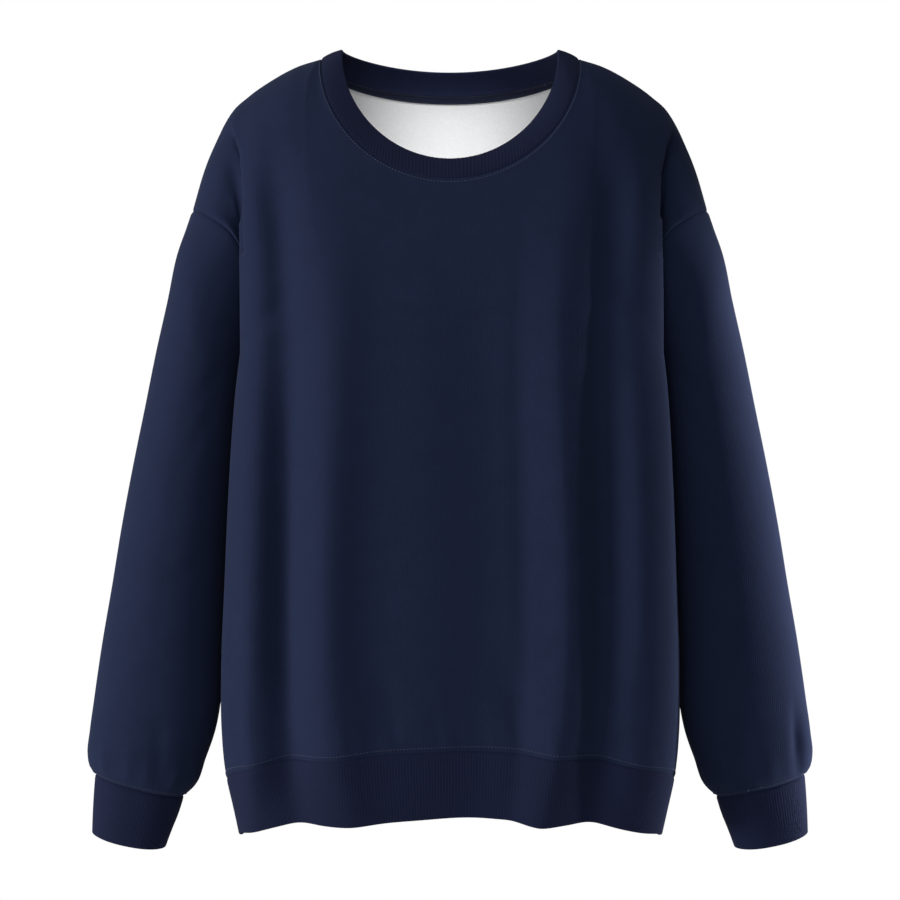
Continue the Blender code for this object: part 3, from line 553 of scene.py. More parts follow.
def valuesAt(at, lengths, values):       # straight between the values, each coordinate by itself
    return np.stack([np.interp(at, lengths, values[:, k]) for k in range(3)], axis=-1)


def addEdges(name, edges):       # every edge: its points and the directions out of the cloth there
    points, ways = [], []
    for line, out in edges:
        lengths = runLengths(line)
        at = np.linspace(0.0, lengths[-1], int(lengths[-1] / seams["step"]) + 2)
        points.append(valuesAt(at, lengths, line))
        ways.append(valuesAt(at, lengths, out))
    points, ways = np.concatenate(points), np.concatenate(ways)
    tree = KDTree(len(points))
    for i, point in enumerate(points):
        tree.insert(point, i)
    tree.balance()
    seamEdges[name] = (tree, ways)


def seamWays(name, line, out):       # the direction out of the cloth that pieces share at a seam
    total = out.copy()
    for other, (tree, ways) in seamEdges.items():
        if other == name:
            continue
        for i, point in enumerate(line):
            _, index, apart = tree.find(point)
            total[i] += ways[index] * np.exp(-(apart / seams["reach"]) ** 2)
    return unit(total)


def towardSeams(normals, edges):     # edges: distances from a seam and the shared directions
    turned = normals
    for distance, ways in edges:
        weight = np.exp(-(distance / seams["blend"]) ** 2)[..., None]
        turned = turned + (ways - turned) * weight
    return unit(turned)


def awayFromSeams(distance):
    return 1.0 - np.exp(-(distance / seams["calm"]) ** 2)


creaseOverrun = 0.3      # a crease fades out over this share of its length past each end
facingSharpness = 2.0


def facingShare(normals, face):      # 1 where the cloth faces the front or the back, 0 at its sides
    return np.clip(-face * normals[..., 1] * facingSharpness, 0.0, 1.0)


def creaseRelief(points, normals, creases):
    relief = np.zeros(points.shape[:-1])
    flat = points[..., [0, 2]]
    for face, start, end, width, depth in creases:
        a, b = np.array(start, float), np.array(end, float)
        way = b - a
        t = np.clip(((flat - a) @ way) / (way @ way), -creaseOverrun, 1.0 + creaseOverrun)
        apart = np.linalg.norm(flat - (a + t[..., None] * way), axis=-1)
        ends = eased(np.clip(1.0 - np.abs(t - 0.5) / (0.5 + creaseOverrun), 0.0, 1.0))
        relief += depth * ends * np.exp(-(apart / width) ** 2) * facingShare(normals, face)
    return relief


tucks = {      # the folds at the armholes, where the cloth drops sharply on one side of a line
    "fadeIn": 22.0,
    "fadeOut": 12.0,
    "stepFrom": -1.2,
    "stepWidth": 3.6,
    "lipWidth": 9.0,
    "groovePlace": 2.4,
    "grooveWidth": 3.0,
    "clearOfSeam": 11.0,
    "front": (      # the side that drops, depth, reach, lip, groove, places from the top in x and z
        (-1, 7.5, 22.0, 1.0, 3.0,
         ((-203, -56), (-199, -68), (-192, -88), (-188, -117), (-186.5, -148), (-186, -184))),
        (1, 10.5, 24.0, 1.8, 7.0,
         ((206, -64), (198, -84), (191.5, -110), (189.5, -135), (187, -184))),
    ),
}


def tuckRelief(points, normals, along, fromRight):
    relief = np.zeros(points.shape[:-1])
    for side, depth, reach, lip, groove, places in tucks["front"]:
        heights, across = [-z for x, z in places], [x for x, z in places]
        down = -points[..., 2]
        apart = (points[..., 0] - np.interp(down, heights, across)) * side
        start = np.clip((down - heights[0]) / tucks["fadeIn"], 0.0, 1.0)
        end = np.clip((heights[-1] - down) / tucks["fadeOut"], 0.0, 1.0)
        step = eased(np.clip((apart - tucks["stepFrom"]) / tucks["stepWidth"], 0.0, 1.0))
        fromSeam = fromRight if side > 0 else along
        clear = 1.0 - np.exp(-(fromSeam / tucks["clearOfSeam"]) ** 2)
        drop = depth * step * np.exp(-(np.maximum(apart, 0.0) / reach) ** 2) * clear
        rise = lip * (1.0 - step) * np.exp(-(np.minimum(apart, 0.0) / tucks["lipWidth"]) ** 2)
        across = (apart - tucks["groovePlace"]) / tucks["grooveWidth"]
        bottom = groove * np.exp(-across ** 2) * clear
        relief += (rise - drop - bottom) * (eased(start) * eased(end)) * facingShare(normals, 1)
    return relief


shadeAngle = 60.0      # sharper edges than this stay sharp


def makeMesh(name, points, faces, faceMaterials, materials, uvs=None, mirrored=False):
    if mirrored:
        points = points * mirrorX
        faces = [tuple(reversed(face)) for face in faces]
    mesh = bpy.data.meshes.new(name)
    mesh.from_pydata((points * mm).tolist(), [], faces)
    for material in materials:
        mesh.materials.append(material)
    mesh.polygons.foreach_set("material_index", faceMaterials)
    if uvs is not None:
        layer = mesh.uv_layers.new(name="cloth")
        corners = np.empty(len(mesh.loops), int)
        mesh.loops.foreach_get("vertex_index", corners)
        layer.data.foreach_set("uv", (uvs[corners] * mm).ravel())
    mesh.validate()
    obj = bpy.data.objects.new(name, mesh)
    bpy.context.scene.collection.objects.link(obj)
    bpy.ops.object.select_all(action="DESELECT")
    bpy.context.view_layer.objects.active = obj
    obj.select_set(True)
    bpy.ops.object.shade_smooth_by_angle(angle=np.radians(shadeAngle))
    obj.select_set(False)
    return obj


def wallMesh(name, outer, inner, closed, materials, uvs, turn=1.0, mirrored=False):
    rowCount, columnCount = outer.shape[:2]
    size = rowCount * columnCount
    index = np.arange(size).reshape(rowCount, columnCount)
    if closed:
        right = np.roll(index, -1, axis=1)
    else:
        index, right = index[:, :-1], index[:, 1:]
    a, b, c, d = index[:-1].ravel(), right[:-1].ravel(), right[1:].ravel(), index[1:].ravel()
    outerFaces = np.stack([a, d, c, b], axis=1)
    innerFaces = np.stack([a, b, c, d], axis=1) + size
    a, b = index[0].ravel(), right[0].ravel()
    topRim = np.stack([a, b, b + size, a + size], axis=1)
    a, b = index[-1].ravel(), right[-1].ravel()
    lowRim = np.stack([a, a + size, b + size, b], axis=1)
    groups = [outerFaces, innerFaces, topRim, lowRim]
    if not closed:
        for column, flip in ((0, True), (columnCount - 1, False)):
            line = np.arange(rowCount) * columnCount + column
            a, b = line[:-1], line[1:]
            rim = np.stack([a, a + size, b + size, b], axis=1)
            groups.append(rim if flip else rim[:, ::-1])
    faces = np.concatenate(groups)
    if turn < 0:
        faces = faces[:, ::-1]
    kinds = np.zeros(len(faces), int)
    kinds[len(outerFaces):2 * len(outerFaces)] = len(materials) - 1
    points = np.concatenate([outer.reshape(-1, 3), inner.reshape(-1, 3)])
    uvs = np.concatenate([uvs.reshape(-1, 2), uvs.reshape(-1, 2)])
    return makeMesh(name, points, faces.tolist(), kinds, materials, uvs, mirrored)


# Finishes: tones are the colour's darkest and lightest, fuzz and patches a noise's scale and
# detail, bump its height in metres and strength. Waves follow the cloth: wales or courses.
finishes = {
    "fleece": {
        "colour": (0.0103, 0.0155, 0.0404), "tones": (0.72, 1.28), "roughness": 0.92, "shine": 0.08,
        "sheen": 0.035, "sheenTint": (0.55, 0.62, 0.9), "bump": (0.00025, 0.5),
        "fuzz": (900.0, 3.0), "patches": (48.0, 3.0), "shares": (0.62, 0.38),
        "waves": {"across": "X", "scale": 160.0, "distortion": 1.2, "detailScale": 3.0,
                  "height": 0.35},
    },
    "reverse": {
        "colour": (0.90, 0.905, 0.91), "tones": (0.93, 1.06), "roughness": 1.0, "shine": 0.1,
        "sheen": 0.2, "sheenTint": (1.0, 1.0, 1.0), "bump": (0.0005, 0.4), "fuzz": (420.0, 4.0),
    },
    "rib": {
        "colour": (0.0085, 0.0113, 0.0325), "tones": (0.75, 1.25), "roughness": 0.9, "shine": 0.08,
        "sheen": 0.03, "sheenTint": (0.55, 0.6, 0.85), "bump": (0.00025, 0.5),
        "fuzz": (850.0, 3.0), "patches": (30.0, 2.0), "shares": (0.7, 0.3),
        "waves": {"across": "Y", "scale": 200.0, "distortion": 0.8, "detailScale": 1.0,
                  "height": 0.4},
    },
    "tape": {
        "colour": (0.0125, 0.0158, 0.036), "tones": (0.8, 1.25), "roughness": 0.85, "shine": 0.15,
        "sheen": 0.04, "sheenTint": (0.6, 0.65, 0.8), "bump": (0.0003, 0.6),
        "zigzag": 0.0024, "twillScale": 1100.0,
    },
    "thread": {
        "colour": (0.029, 0.037, 0.075), "tones": (0.7, 1.3), "roughness": 0.6, "shine": 0.3,
        "sheen": 0.04, "sheenTint": (0.7, 0.75, 0.9), "fuzz": (1500.0, 1.0),
    },
}
# The neckband's rib is the same cloth as the hem and cuffs, made a little darker: painted shade
# that offsets the extra light the neck lamp throws on it.
finishes["neckRibPaintedShade"] = {**finishes["rib"], "colour": (0.0076, 0.0100, 0.0285)}
sheenRoughness = 0.45


def newFinish(name, kind):
    sizes = finishes[kind]
    material = bpy.data.materials.new(name)
    material.use_nodes = True
    shader = material.node_tree.nodes["Principled BSDF"]
    shader.inputs["Roughness"].default_value = sizes["roughness"]
    shader.inputs["Sheen Weight"].default_value = sizes["sheen"]
    shader.inputs["Sheen Roughness"].default_value = sheenRoughness
    shader.inputs["Sheen Tint"].default_value = (*sizes["sheenTint"], 1.0)
    shader.inputs["Specular IOR Level"].default_value = sizes["shine"]
    material.diffuse_color = (*sizes["colour"], 1.0)
    return material, material.node_tree, shader


def shadeBetween(tree, shader, factor, sizes):      # the colour between its two tones
    mix = tree.nodes.new("ShaderNodeMix")
    mix.data_type = "RGBA"
    for socket, tone in zip("AB", sizes["tones"]):
        colour = [min(1.0, part * tone) for part in sizes["colour"]]
        mix.inputs[socket].default_value = (*colour, 1.0)
    tree.links.new(factor, mix.inputs["Factor"])
    tree.links.new(mix.outputs["Result"], shader.inputs["Base Color"])


def noise(tree, scale, detail):
    place = tree.nodes.new("ShaderNodeTexCoord")
    texture = tree.nodes.new("ShaderNodeTexNoise")
    texture.inputs["Scale"].default_value = scale
    texture.inputs["Detail"].default_value = detail
    tree.links.new(place.outputs["Object"], texture.inputs["Vector"])
    return texture.outputs["Fac"]


def clothCoordinates(tree):
    uv = tree.nodes.new("ShaderNodeUVMap")
    uv.uv_map = "cloth"
    return uv.outputs["UV"]


def mathNode(tree, operation, a, b):
    node = tree.nodes.new("ShaderNodeMath")
    node.operation = operation
    for socket, value in ((node.inputs[0], a), (node.inputs[1], b)):
        if isinstance(value, (int, float)):
            socket.default_value = value
        else:
            tree.links.new(value, socket)
    return node.outputs["Value"]


def bumpFrom(tree, shader, height, sizes):
    bump = tree.nodes.new("ShaderNodeBump")
    distance, strength = sizes["bump"]
    bump.inputs["Distance"].default_value = distance
    bump.inputs["Strength"].default_value = strength
    tree.links.new(height, bump.inputs["Height"])
    tree.links.new(bump.outputs["Normal"], shader.inputs["Normal"])


def knitFinish(name, kind):      # fine wales or courses with a little fuzz
    material, tree, shader = newFinish(name, kind)
    sizes, waves = finishes[kind], finishes[kind]["waves"]
    fuzz, patches = noise(tree, *sizes["fuzz"]), noise(tree, *sizes["patches"])
    fuzzShare, patchShare = sizes["shares"]
    mottled = mathNode(tree, "ADD", mathNode(tree, "MULTIPLY", fuzz, fuzzShare),
                       mathNode(tree, "MULTIPLY", patches, patchShare))
    shadeBetween(tree, shader, mottled, sizes)
    wave = tree.nodes.new("ShaderNodeTexWave")
    wave.wave_type = "BANDS"
    wave.bands_direction = waves["across"]
    wave.inputs["Scale"].default_value = waves["scale"]
    wave.inputs["Distortion"].default_value = waves["distortion"]
    wave.inputs["Detail Scale"].default_value = waves["detailScale"]
    tree.links.new(clothCoordinates(tree), wave.inputs["Vector"])
    raised = mathNode(tree, "MULTIPLY", wave.outputs["Fac"], waves["height"])
    bumpFrom(tree, shader, mathNode(tree, "ADD", raised, fuzz), sizes)
    return material


def napFinish(name, kind):      # the brushed side, or the twist of a thread
    material, tree, shader = newFinish(name, kind)
    sizes = finishes[kind]
    nap = noise(tree, *sizes["fuzz"])
    shadeBetween(tree, shader, nap, sizes)
    if "bump" in sizes:
        bumpFrom(tree, shader, nap, sizes)
    return material


def twillFinish(name, kind):      # herringbone, from a slope that turns back at each zigzag
    material, tree, shader = newFinish(name, kind)
    sizes = finishes[kind]
    split = tree.nodes.new("ShaderNodeSeparateXYZ")
    tree.links.new(clothCoordinates(tree), split.inputs["Vector"])
    zigzag = mathNode(tree, "PINGPONG", split.outputs["X"], sizes["zigzag"])
    slope = mathNode(tree, "ADD", zigzag, split.outputs["Y"])
    twill = mathNode(tree, "PINGPONG", mathNode(tree, "MULTIPLY", slope, sizes["twillScale"]), 0.5)
    shadeBetween(tree, shader, mathNode(tree, "MULTIPLY", twill, 2.0), sizes)
    bumpFrom(tree, shader, twill, sizes)
    return material


navyFleece, whiteReverse = knitFinish("navyFleece", "fleece"), napFinish("whiteReverse", "reverse")
navyRib, neckRibPaintedShade = knitFinish("navyRib", "rib"), knitFinish("neckRibPaintedShade", "neckRibPaintedShade")
navyTape, navyThread = twillFinish("navyTape", "tape"), napFinish("navyThread", "thread")
print("finishes ready")

stitch = {
    "pitch": 3.0,
    "gap": 0.11,        # share of the pitch before each stitch
    "length": 2.35,
    "radius": 0.3,
    "tip": 0.55,        # share of the radius at both ends
    "rise": 0.32,
    "shoulder": 0.8,    # share of the rise beside the middle
    "sink": 0.35,
    "sides": 5,
    "fromNeck": 3.4,
    "fromHem": 4.2,
    "fromCuff": 4.0,
    "clearOfSide": 2,   # columns
}


def lineDown(rows, normals, distance, fromEnd=False):   # a line at a distance from a seam
    if fromEnd:
        rows, normals = rows[::-1], normals[::-1]
    lengths = lengthsDown(rows)
    line, out = [], []
    for j in range(rows.shape[1]):
        line.append(valuesAt(distance, lengths[:, j], rows[:, j]))
        out.append(valuesAt(distance, lengths[:, j], normals[:, j]))
    return np.array(line), unit(np.array(out))


def stitchRow(name, lines, mirrored=False):     # lines: (points, normals, closed)
    points, faces = [], []
    sides, sink, rise, tip = stitch["sides"], stitch["sink"], stitch["rise"], stitch["tip"]
    shoulder = rise * stitch["shoulder"]
    lift = np.array([-sink, shoulder, rise, shoulder, -sink])
    thick = stitch["radius"] * np.array([tip, 1.0, 1.0, 1.0, tip])
    rings = len(lift)
    for line, out, closed in lines:
        if closed:
            line, out = withFirst(line), withFirst(out)
        lengths = runLengths(line)
        count = int(lengths[-1] / stitch["pitch"])
        for k in range(count):
            start = (k + stitch["gap"]) * lengths[-1] / count
            at = start + stitch["length"] * np.linspace(0.0, 1.0, rings)
            middle, up = valuesAt(at, lengths, line), unit(valuesAt(at, lengths, out))
            along = unit(middle[-1] - middle[0])
            across = unit(np.cross(along, up))
            middle = middle + up * lift[:, None]
            base = len(points)
            for ring in range(rings):
                for side in range(sides):
                    turn = 2 * np.pi * side / sides
                    way = np.cos(turn) * across[ring] + np.sin(turn) * up[ring]
                    points.append(middle[ring] + thick[ring] * way)
            for ring in range(rings - 1):
                for side in range(sides):
                    a, b = base + ring * sides + side, base + ring * sides + (side + 1) % sides
                    faces.append((a, b, b + sides, a + sides))
            faces.append(tuple(base + side for side in reversed(range(sides))))
            faces.append(tuple(base + (rings - 1) * sides + side for side in range(sides)))
    kinds = np.zeros(len(faces), int)
    obj = makeMesh(name, np.array(points), faces, kinds, [navyThread], None, mirrored)
    work = bmesh.new()
    work.from_mesh(obj.data)
    bmesh.ops.recalc_face_normals(work, faces=work.faces)
    work.to_mesh(obj.data)
    work.free()
    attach(obj, "root")
    return obj


creases = {      # face (1 front, -1 back), start and end in x and z, width, height
    "bodyFront": (
        (1, (-186, -262), (-140, -214), 9, -1.6),
        (1, (-184, -284), (-128, -262), 11, -1.3),
        (1, (186, -262), (146, -206), 9, -1.8),
        (1, (185, -290), (132, -270), 12, -1.2),
        (1, (-178, -96), (-150, -170), 13, -1.4),
        (1, (-176, -82), (-175, -184), 11, 3.8),
        (1, (-152, -110), (-150, -240), 14, -3.0),
        (1, (147, -100), (142, -240), 14, -3.2),
        (1, (-128, -20), (-128, -110), 18, -1.8),
        (1, (126, -20), (126, -110), 18, -1.8),
        (1, (172, -84), (171, -196), 13, 5.2),
        (1, (138, -130), (128, -600), 15, -2.2),
        (1, (167, -130), (170, -590), 18, 3.2),
        (1, (-130, -190), (-129, -600), 13, -2.0),
        (1, (-166, -200), (-168, -600), 11, 2.0),
        (1, (-60, -560), (-48, -626), 14, -1.2),
        (1, (48, -540), (60, -622), 12, -1.6),
        (1, (-176, -560), (-170, -630), 10, -1.6),
        (1, (172, -540), (168, -625), 11, -1.8),
    ),
    "bodyBack": (
        (-1, (-184, -262), (-138, -220), 10, -2.0),
        (-1, (184, -262), (140, -210), 10, -1.8),
        (-1, (-182, -288), (-120, -274), 12, -1.5),
        (-1, (180, -292), (126, -280), 12, -1.3),
        (-1, (-70, -60), (-96, -150), 16, -1.4),
        (-1, (74, -64), (92, -160), 16, -1.5),
        (-1, (-20, -560), (-14, -635), 13, -1.6),
        (-1, (150, -548), (156, -630), 12, -1.8),
    ),
    "sleeve": (
        (1, (-196, -270), (-232, -322), 8, -1.6),
        (1, (-203, -300), (-240, -372), 8, -1.2),
        (-1, (-198, -276), (-240, -330), 9, -2.0),
        (-1, (-206, -318), (-250, -382), 9, -1.5),
        (1, (-212, -452), (-246, -470), 8, -1.2),
        (-1, (-212, -440), (-262, -462), 9, -2.0),
        (-1, (-216, -470), (-262, -500), 9, -1.7),
        (1, (-262, -600), (-266, -664), 8, -1.3),
        (-1, (-258, -596), (-262, -666), 8, -1.8),
        (-1, (-300, -590), (-300, -656), 9, -1.8),
    ),
    "sleeveLeftOnly": (
        (1, (-314, -592), (-317, -662), 5, -4.5),
        (1, (-323, -600), (-325, -655), 6, 2.0),
    ),
}


gatherWaves = ((1.0, 0.5), (1.37, 0.35), (0.71, 0.25), (2.3, 0.4))      # of the pitch, strength
gatherFade = 1.3


def gatherRelief(along, distance, sizes, seed):   # small puckers above a tighter band
    rng = np.random.default_rng(seed)
    phase = rng.uniform(0, 2 * np.pi, len(gatherWaves))
    wave = sum(np.sin(2 * np.pi * along / (sizes["pitch"] * k) + phase[i]) * w
               for i, (k, w) in enumerate(gatherWaves))
    return sizes["depth"] * wave * np.exp(-(distance / sizes["reach"]) ** gatherFade)


neckEdge = len(allShares) - len(collarAngles)      # columns outside the neckline on each half


def edgeDistances(grid):       # from the top, the hem, the -X side and the +X side
    downward, along = lengthsDown(grid), lengthsAlong(grid)
    return downward, downward[-1] - downward, along, along[:, -1:] - along


def drapedPanel(side):
    grid = panelGrid(side)
    normals = gridNormals(grid, False, -outWay[side], body["steadied"])
    downward, fromHem, along, fromRight = edgeDistances(grid)
    calm = awayFromSeams(np.minimum.reduce([downward, fromHem, along, fromRight]))
    relief = creaseRelief(grid, normals, creases[panelNames[side][0]])
    if side == "front":
        relief += tuckRelief(grid, normals, along, fromRight)
    relief += gatherRelief(along, fromHem, body["gathers"], body["gatherSeeds"][side])
    grid = grid + normals * (relief * calm)[..., None]
    return grid, gridNormals(grid, False, -outWay[side], body["steadied"])


def makePanel(side, grid, normals):
    name, node = panelNames[side]
    distances = edgeDistances(grid)
    downward, fromHem, along, fromRight = distances
    shared = [seamWays(name, line, out) for line, out in edgeLines(grid, normals)]
    ways = [shared[0][None], shared[1][None], shared[2][:, None], shared[3][:, None]]
    outward = towardSeams(normals, list(zip(distances, ways)))
    sizes = body["seamDip"]
    less, over = body["sideDipEase"]
    atSide = 1.0 - less * np.clip((body["underarm"] - grid[..., 2]) / over, 0.0, 1.0)
    sink = np.maximum.reduce([dip(downward, sizes["top"]), dip(fromHem, sizes["hem"]),
                              dip(along, sizes["side"]) * atSide,
                              dip(fromRight, sizes["side"]) * atSide])
    outer = grid - outward * sink[..., None]
    inner = outer - outward * body["wall"]
    centre = along[:, along.shape[1] // 2]
    uvs = np.stack([along - centre[:, None], -downward], axis=-1)
    cloth = [navyFleece, whiteReverse]
    obj = wallMesh(name, outer, inner, False, cloth, uvs, -outWay[side])
    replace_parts(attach(obj, "root"), node)
    return obj, outer, inner, outward


frontGrid, frontOut = drapedPanel("front")
backGrid, backOut = drapedPanel("back")
addEdges("bodyFront", edgeLines(frontGrid, frontOut))
addEdges("bodyBack", edgeLines(backGrid, backOut))
print("panels draped:", frontGrid.shape)

sleeve = {
    "wall": 2.0,
    "power": 2.3,
    "droop": 3.0,
    "droopAtEnd": 1.5,
    "sections": (   # outer x and z, inner x and z, half depth, middle y
        (251.0, -176.0, 188.5, -291.0, 60.0, 12.0),
        (260.3, -220.0, 192.0, -318.0, 65.0, 13.0),
        (270.6, -266.0, 195.0, -347.0, 66.0, 13.0),
        (281.0, -318.0, 198.0, -380.0, 65.0, 12.0),
        (292.0, -372.0, 201.0, -416.0, 63.0, 11.0),
        (302.0, -426.0, 203.5, -455.0, 60.0, 9.0),
        (311.0, -482.0, 206.5, -500.0, 57.0, 7.0),
        (320.0, -536.0, 209.0, -545.0, 53.0, 4.0),
        (327.3, -588.0, 211.0, -588.0, 49.0, 1.0),
        (330.8, -616.0, 216.0, -616.0, 46.0, -1.0),
        (331.7, -638.0, 224.0, -640.0, 42.0, -3.0),
        (329.8, -649.0, 233.0, -663.0, 37.0, -4.0),
        (325.6, -655.0, 244.5, -676.0, 31.0, -4.0),
    ),
    "round": 72,
    "rows": 120,
    "length": 470.0,      # to place the rows at seams
    "armholeDip": (1.0, 1.7),
    "cuffDip": (1.1, 3.0),
    "gathers": ((9, 0.9, 0.4), (14, 0.6, 2.0), (23, 0.3, 1.0)),      # times round, height, phase
    "gathersAt": (20.0, 17.0),      # from the cuff, spread
    "gathersInFront": 0.5,
}
halfRound = np.linspace(0.0, 1.0, sleeve["round"] + 1)
roundAngles = np.concatenate([halfRound[:-1] * np.pi, 2 * np.pi - halfRound[:0:-1] * np.pi])


def sleeveSection(row, droop=0.0):
    outerX, outerZ, innerX, innerZ, halfDepth, middleY = row
    power = 2.0 / sleeve["power"]
    along = signedPower(np.cos(roundAngles), power)
    side = signedPower(np.sin(roundAngles), power)
    x = -(outerX + innerX) / 2 - along * (outerX - innerX) / 2
    z = (outerZ + innerZ) / 2 + along * (outerZ - innerZ) / 2 - droop * np.clip(side, 0.0, 1.0) ** 2
    return np.stack([x, middleY - side * halfDepth, z], axis=1)


def sleeveGrid():
    front, back = armholePoints("front", halfRound), armholePoints("back", halfRound)
    rings = [joinedRing(front, back)]
    rings += [sleeveSection(row) for row in sleeve["sections"][:-1]]
    rings.append(sleeveSection(sleeve["sections"][-1], sleeve["droopAtEnd"]))
    rings = np.array(rings)
    shares = spacedShares(sleeve["rows"], sleeve["length"], atStart=True, atEnd=True)
    columns = []
    for i in range(rings.shape[1]):
        lengths = runLengths(rings[:, i])
        columns.append(smoothValues(lengths, rings[:, i], shares * lengths[-1]))
    return np.array(columns).transpose(1, 0, 2)


def drapedSleeve(extra):
    grid = sleeveGrid()
    normals = gridNormals(grid, True)
    downward = lengthsDown(grid)
    fromCuff = downward[-1] - downward
    turns = np.broadcast_to(np.arange(grid.shape[1]) / grid.shape[1], grid.shape[:2])
    gathers = sum(w * np.sin(2 * np.pi * turns * n + p) for n, w, p in sleeve["gathers"])
    relief = creaseRelief(grid, normals, creases["sleeve"] + extra)
    calmer = 1.0 - sleeve["gathersInFront"] * facingShare(normals, 1)
    place, spread = sleeve["gathersAt"]
    relief += gathers * calmer * np.exp(-((fromCuff - place) / spread) ** 2)
    calm = awayFromSeams(np.minimum(downward, fromCuff))
    grid = grid + normals * (relief * calm)[..., None]
    return grid, gridNormals(grid, True)


def flippedWays(name, line, out, flip):      # shared directions for a piece made on the -X side
    turned = np.array([flip, 1.0, 1.0])
    return seamWays(name, line * turned, out * turned) * turned


def makeSleeve(name, node, grid, normals, flip):
    downward = lengthsDown(grid)
    fromCuff = downward[-1] - downward
    top = flippedWays(name, grid[0], normals[0], flip)
    low = flippedWays(name, grid[-1], normals[-1], flip)
    outward = towardSeams(normals, [(downward, top[None]), (fromCuff, low[None])])
    sink = np.maximum(dip(downward, sleeve["armholeDip"]), dip(fromCuff, sleeve["cuffDip"]))
    outer = grid - outward * sink[..., None]
    inner = outer - outward * sleeve["wall"]
    uvs = np.stack([lengthsAlong(grid), -downward], axis=-1)
    obj = wallMesh(name, outer, inner, True, [navyFleece, whiteReverse], uvs, 1.0, flip < 0)
    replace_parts(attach(obj, "root"), node)
    return obj, outer, outward


rightGrid, rightOut = drapedSleeve(())
leftGrid, leftOut = drapedSleeve(creases["sleeveLeftOnly"])
for name, grid, out, flip in (("sleeveRight", rightGrid, rightOut, 1.0),
                              ("sleeveLeft", leftGrid, leftOut, -1.0)):
    addEdges(name, [ringLine(grid[0], out[0], flip), ringLine(grid[-1], out[-1], flip)])
print("sleeves draped:", rightGrid.shape)

# The ribbed bands are folded double, so their free edge is round.
ribbing = {
    "wall": 3.0,
    "perRib": 6,            # columns
    "roundness": 0.8,
    "fadeIn": (1.5, 0.25),  # from the seam, where the ribs are this share as high
    "bend": (0.12, 0.88, 6),      # shares of the half turn at the folded edge, rows
}
bands = {      # pitch and height of the ribs, dip at the seam, rows as shares of the width
    "neck": (3.3, 0.26, (1.0, 1.6), (0.0, 0.03, 0.07, 0.12, 0.2, 0.32, 0.45, 0.6, 0.75, 0.9, 1.0)),
    "hem": (2.7, 0.15, (1.4, 1.4), (0.0, 0.01, 0.02, 0.035, 0.06, 0.12, 0.25, 0.4, 0.6, 0.8, 1.0)),
    "cuff": (2.6, 0.15, (1.1, 1.3), (0.0, 0.01, 0.02, 0.035, 0.06, 0.12, 0.25, 0.4, 0.6, 0.8, 1.0)),
}


def ringAt(ring, lengths, at):     # lengths are those of the band's first ring
    total = lengths[-1]
    knots = np.concatenate([lengths[-3:-1] - total, lengths[:-1], total + lengths[:3]])
    wrapped = np.concatenate([ring[-2:], ring, ring[:3]])
    return smoothValues(knots, wrapped, at)


def bandRows(kind, ringFor, turn):
    pitch, _, _, shares = bands[kind]
    lengths = runLengths(withFirst(ringFor(0.0)))
    count = int(round(lengths[-1] / pitch)) * ribbing["perRib"]
    at = np.arange(count) * lengths[-1] / count
    rows = np.array([ringAt(ringFor(share), lengths, at) for share in shares])
    return rows, gridNormals(rows, True, turn)


def makeBand(name, node, kind, rows, normals, turn, flip=1.0):
    _, height, roll, _ = bands[kind]
    count, wall = rows.shape[1], ribbing["wall"]
    downward = lengthsDown(rows)
    shared = flippedWays(name, rows[0], normals[0], flip)
    normals = towardSeams(normals, [(downward, shared[None])])
    rows = rows - normals * dip(downward, roll)[..., None]
    ridge = np.abs(np.cos(np.pi * np.arange(count) / ribbing["perRib"]))
    ridge = ridge ** ribbing["roundness"] - 1.0
    over, least = ribbing["fadeIn"]
    fade = np.clip(downward / over, least, 1.0)
    outer = rows + normals * (ridge * height * fade)[..., None]
    half = wall / 2
    way = unit(rows[-1] - rows[-2])
    middle = rows[-1] - way * half - normals[-1] * half
    ribbed = (ridge * height)[:, None]
    bend = []
    for turnShare in np.linspace(*ribbing["bend"]):
        angle = np.pi * turnShare
        arm = normals[-1] * np.cos(angle) + way * np.sin(angle)
        bend.append(middle + arm * (half + ribbed))
    outer[-1] = rows[-1] - way * half + normals[-1] * ribbed
    inner = [middle - normals[-1] * (half + ribbed)]
    for i in range(len(rows) - 2, -1, -1):
        inner.append(rows[i] - normals[i] * (wall + ribbed * fade[i][:, None]))
    grid = np.concatenate([outer, np.array(bend), np.array(inner)])
    index = np.arange(len(grid) * count).reshape(len(grid), count)
    right = np.roll(index, -1, axis=1)
    faces = np.concatenate([
        np.stack([index[:-1], index[1:], right[1:], right[:-1]], axis=-1).reshape(-1, 4),
        np.stack([index[-1], index[0], right[0], right[-1]], axis=1)])
    if turn < 0:
        faces = faces[:, ::-1]
    around = np.arange(count) * runLengths(rows[0])[-1] / count
    uvs = np.stack([np.broadcast_to(around, grid.shape[:2]), -lengthsDown(grid)], axis=-1)
    # the neckband takes the darker copy of the rib, with its painted shade
    cloth = [neckRibPaintedShade if kind == "neck" else navyRib]
    obj = makeMesh(name, grid.reshape(-1, 3), faces.tolist(), np.zeros(len(faces), int), cloth,
                   uvs.reshape(-1, 2), flip < 0)
    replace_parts(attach(obj, "root"), node)
    return obj


collar = {
    "halfWidth": 99.0, "top": 11.5, "plane": 6.0, "swell": 1.0,
    "front": (80.0, 0.6, 108.0, 1.0),     # reach, power, drop, power
    "back": (61.0, 0.9, 12.5, 1.9),
}


def collarEdge(side):
    reach, reachPower, drop, dropPower = collar[side]
    toward = outWay[side]
    level = np.abs(np.cos(collarAngles))
    half = np.stack([-collar["halfWidth"] * np.sin(collarAngles),
                     collar["plane"] + toward * reach * level ** reachPower,
                     collar["top"] - drop * level ** dropPower], axis=1)
    return bothHalves(half)


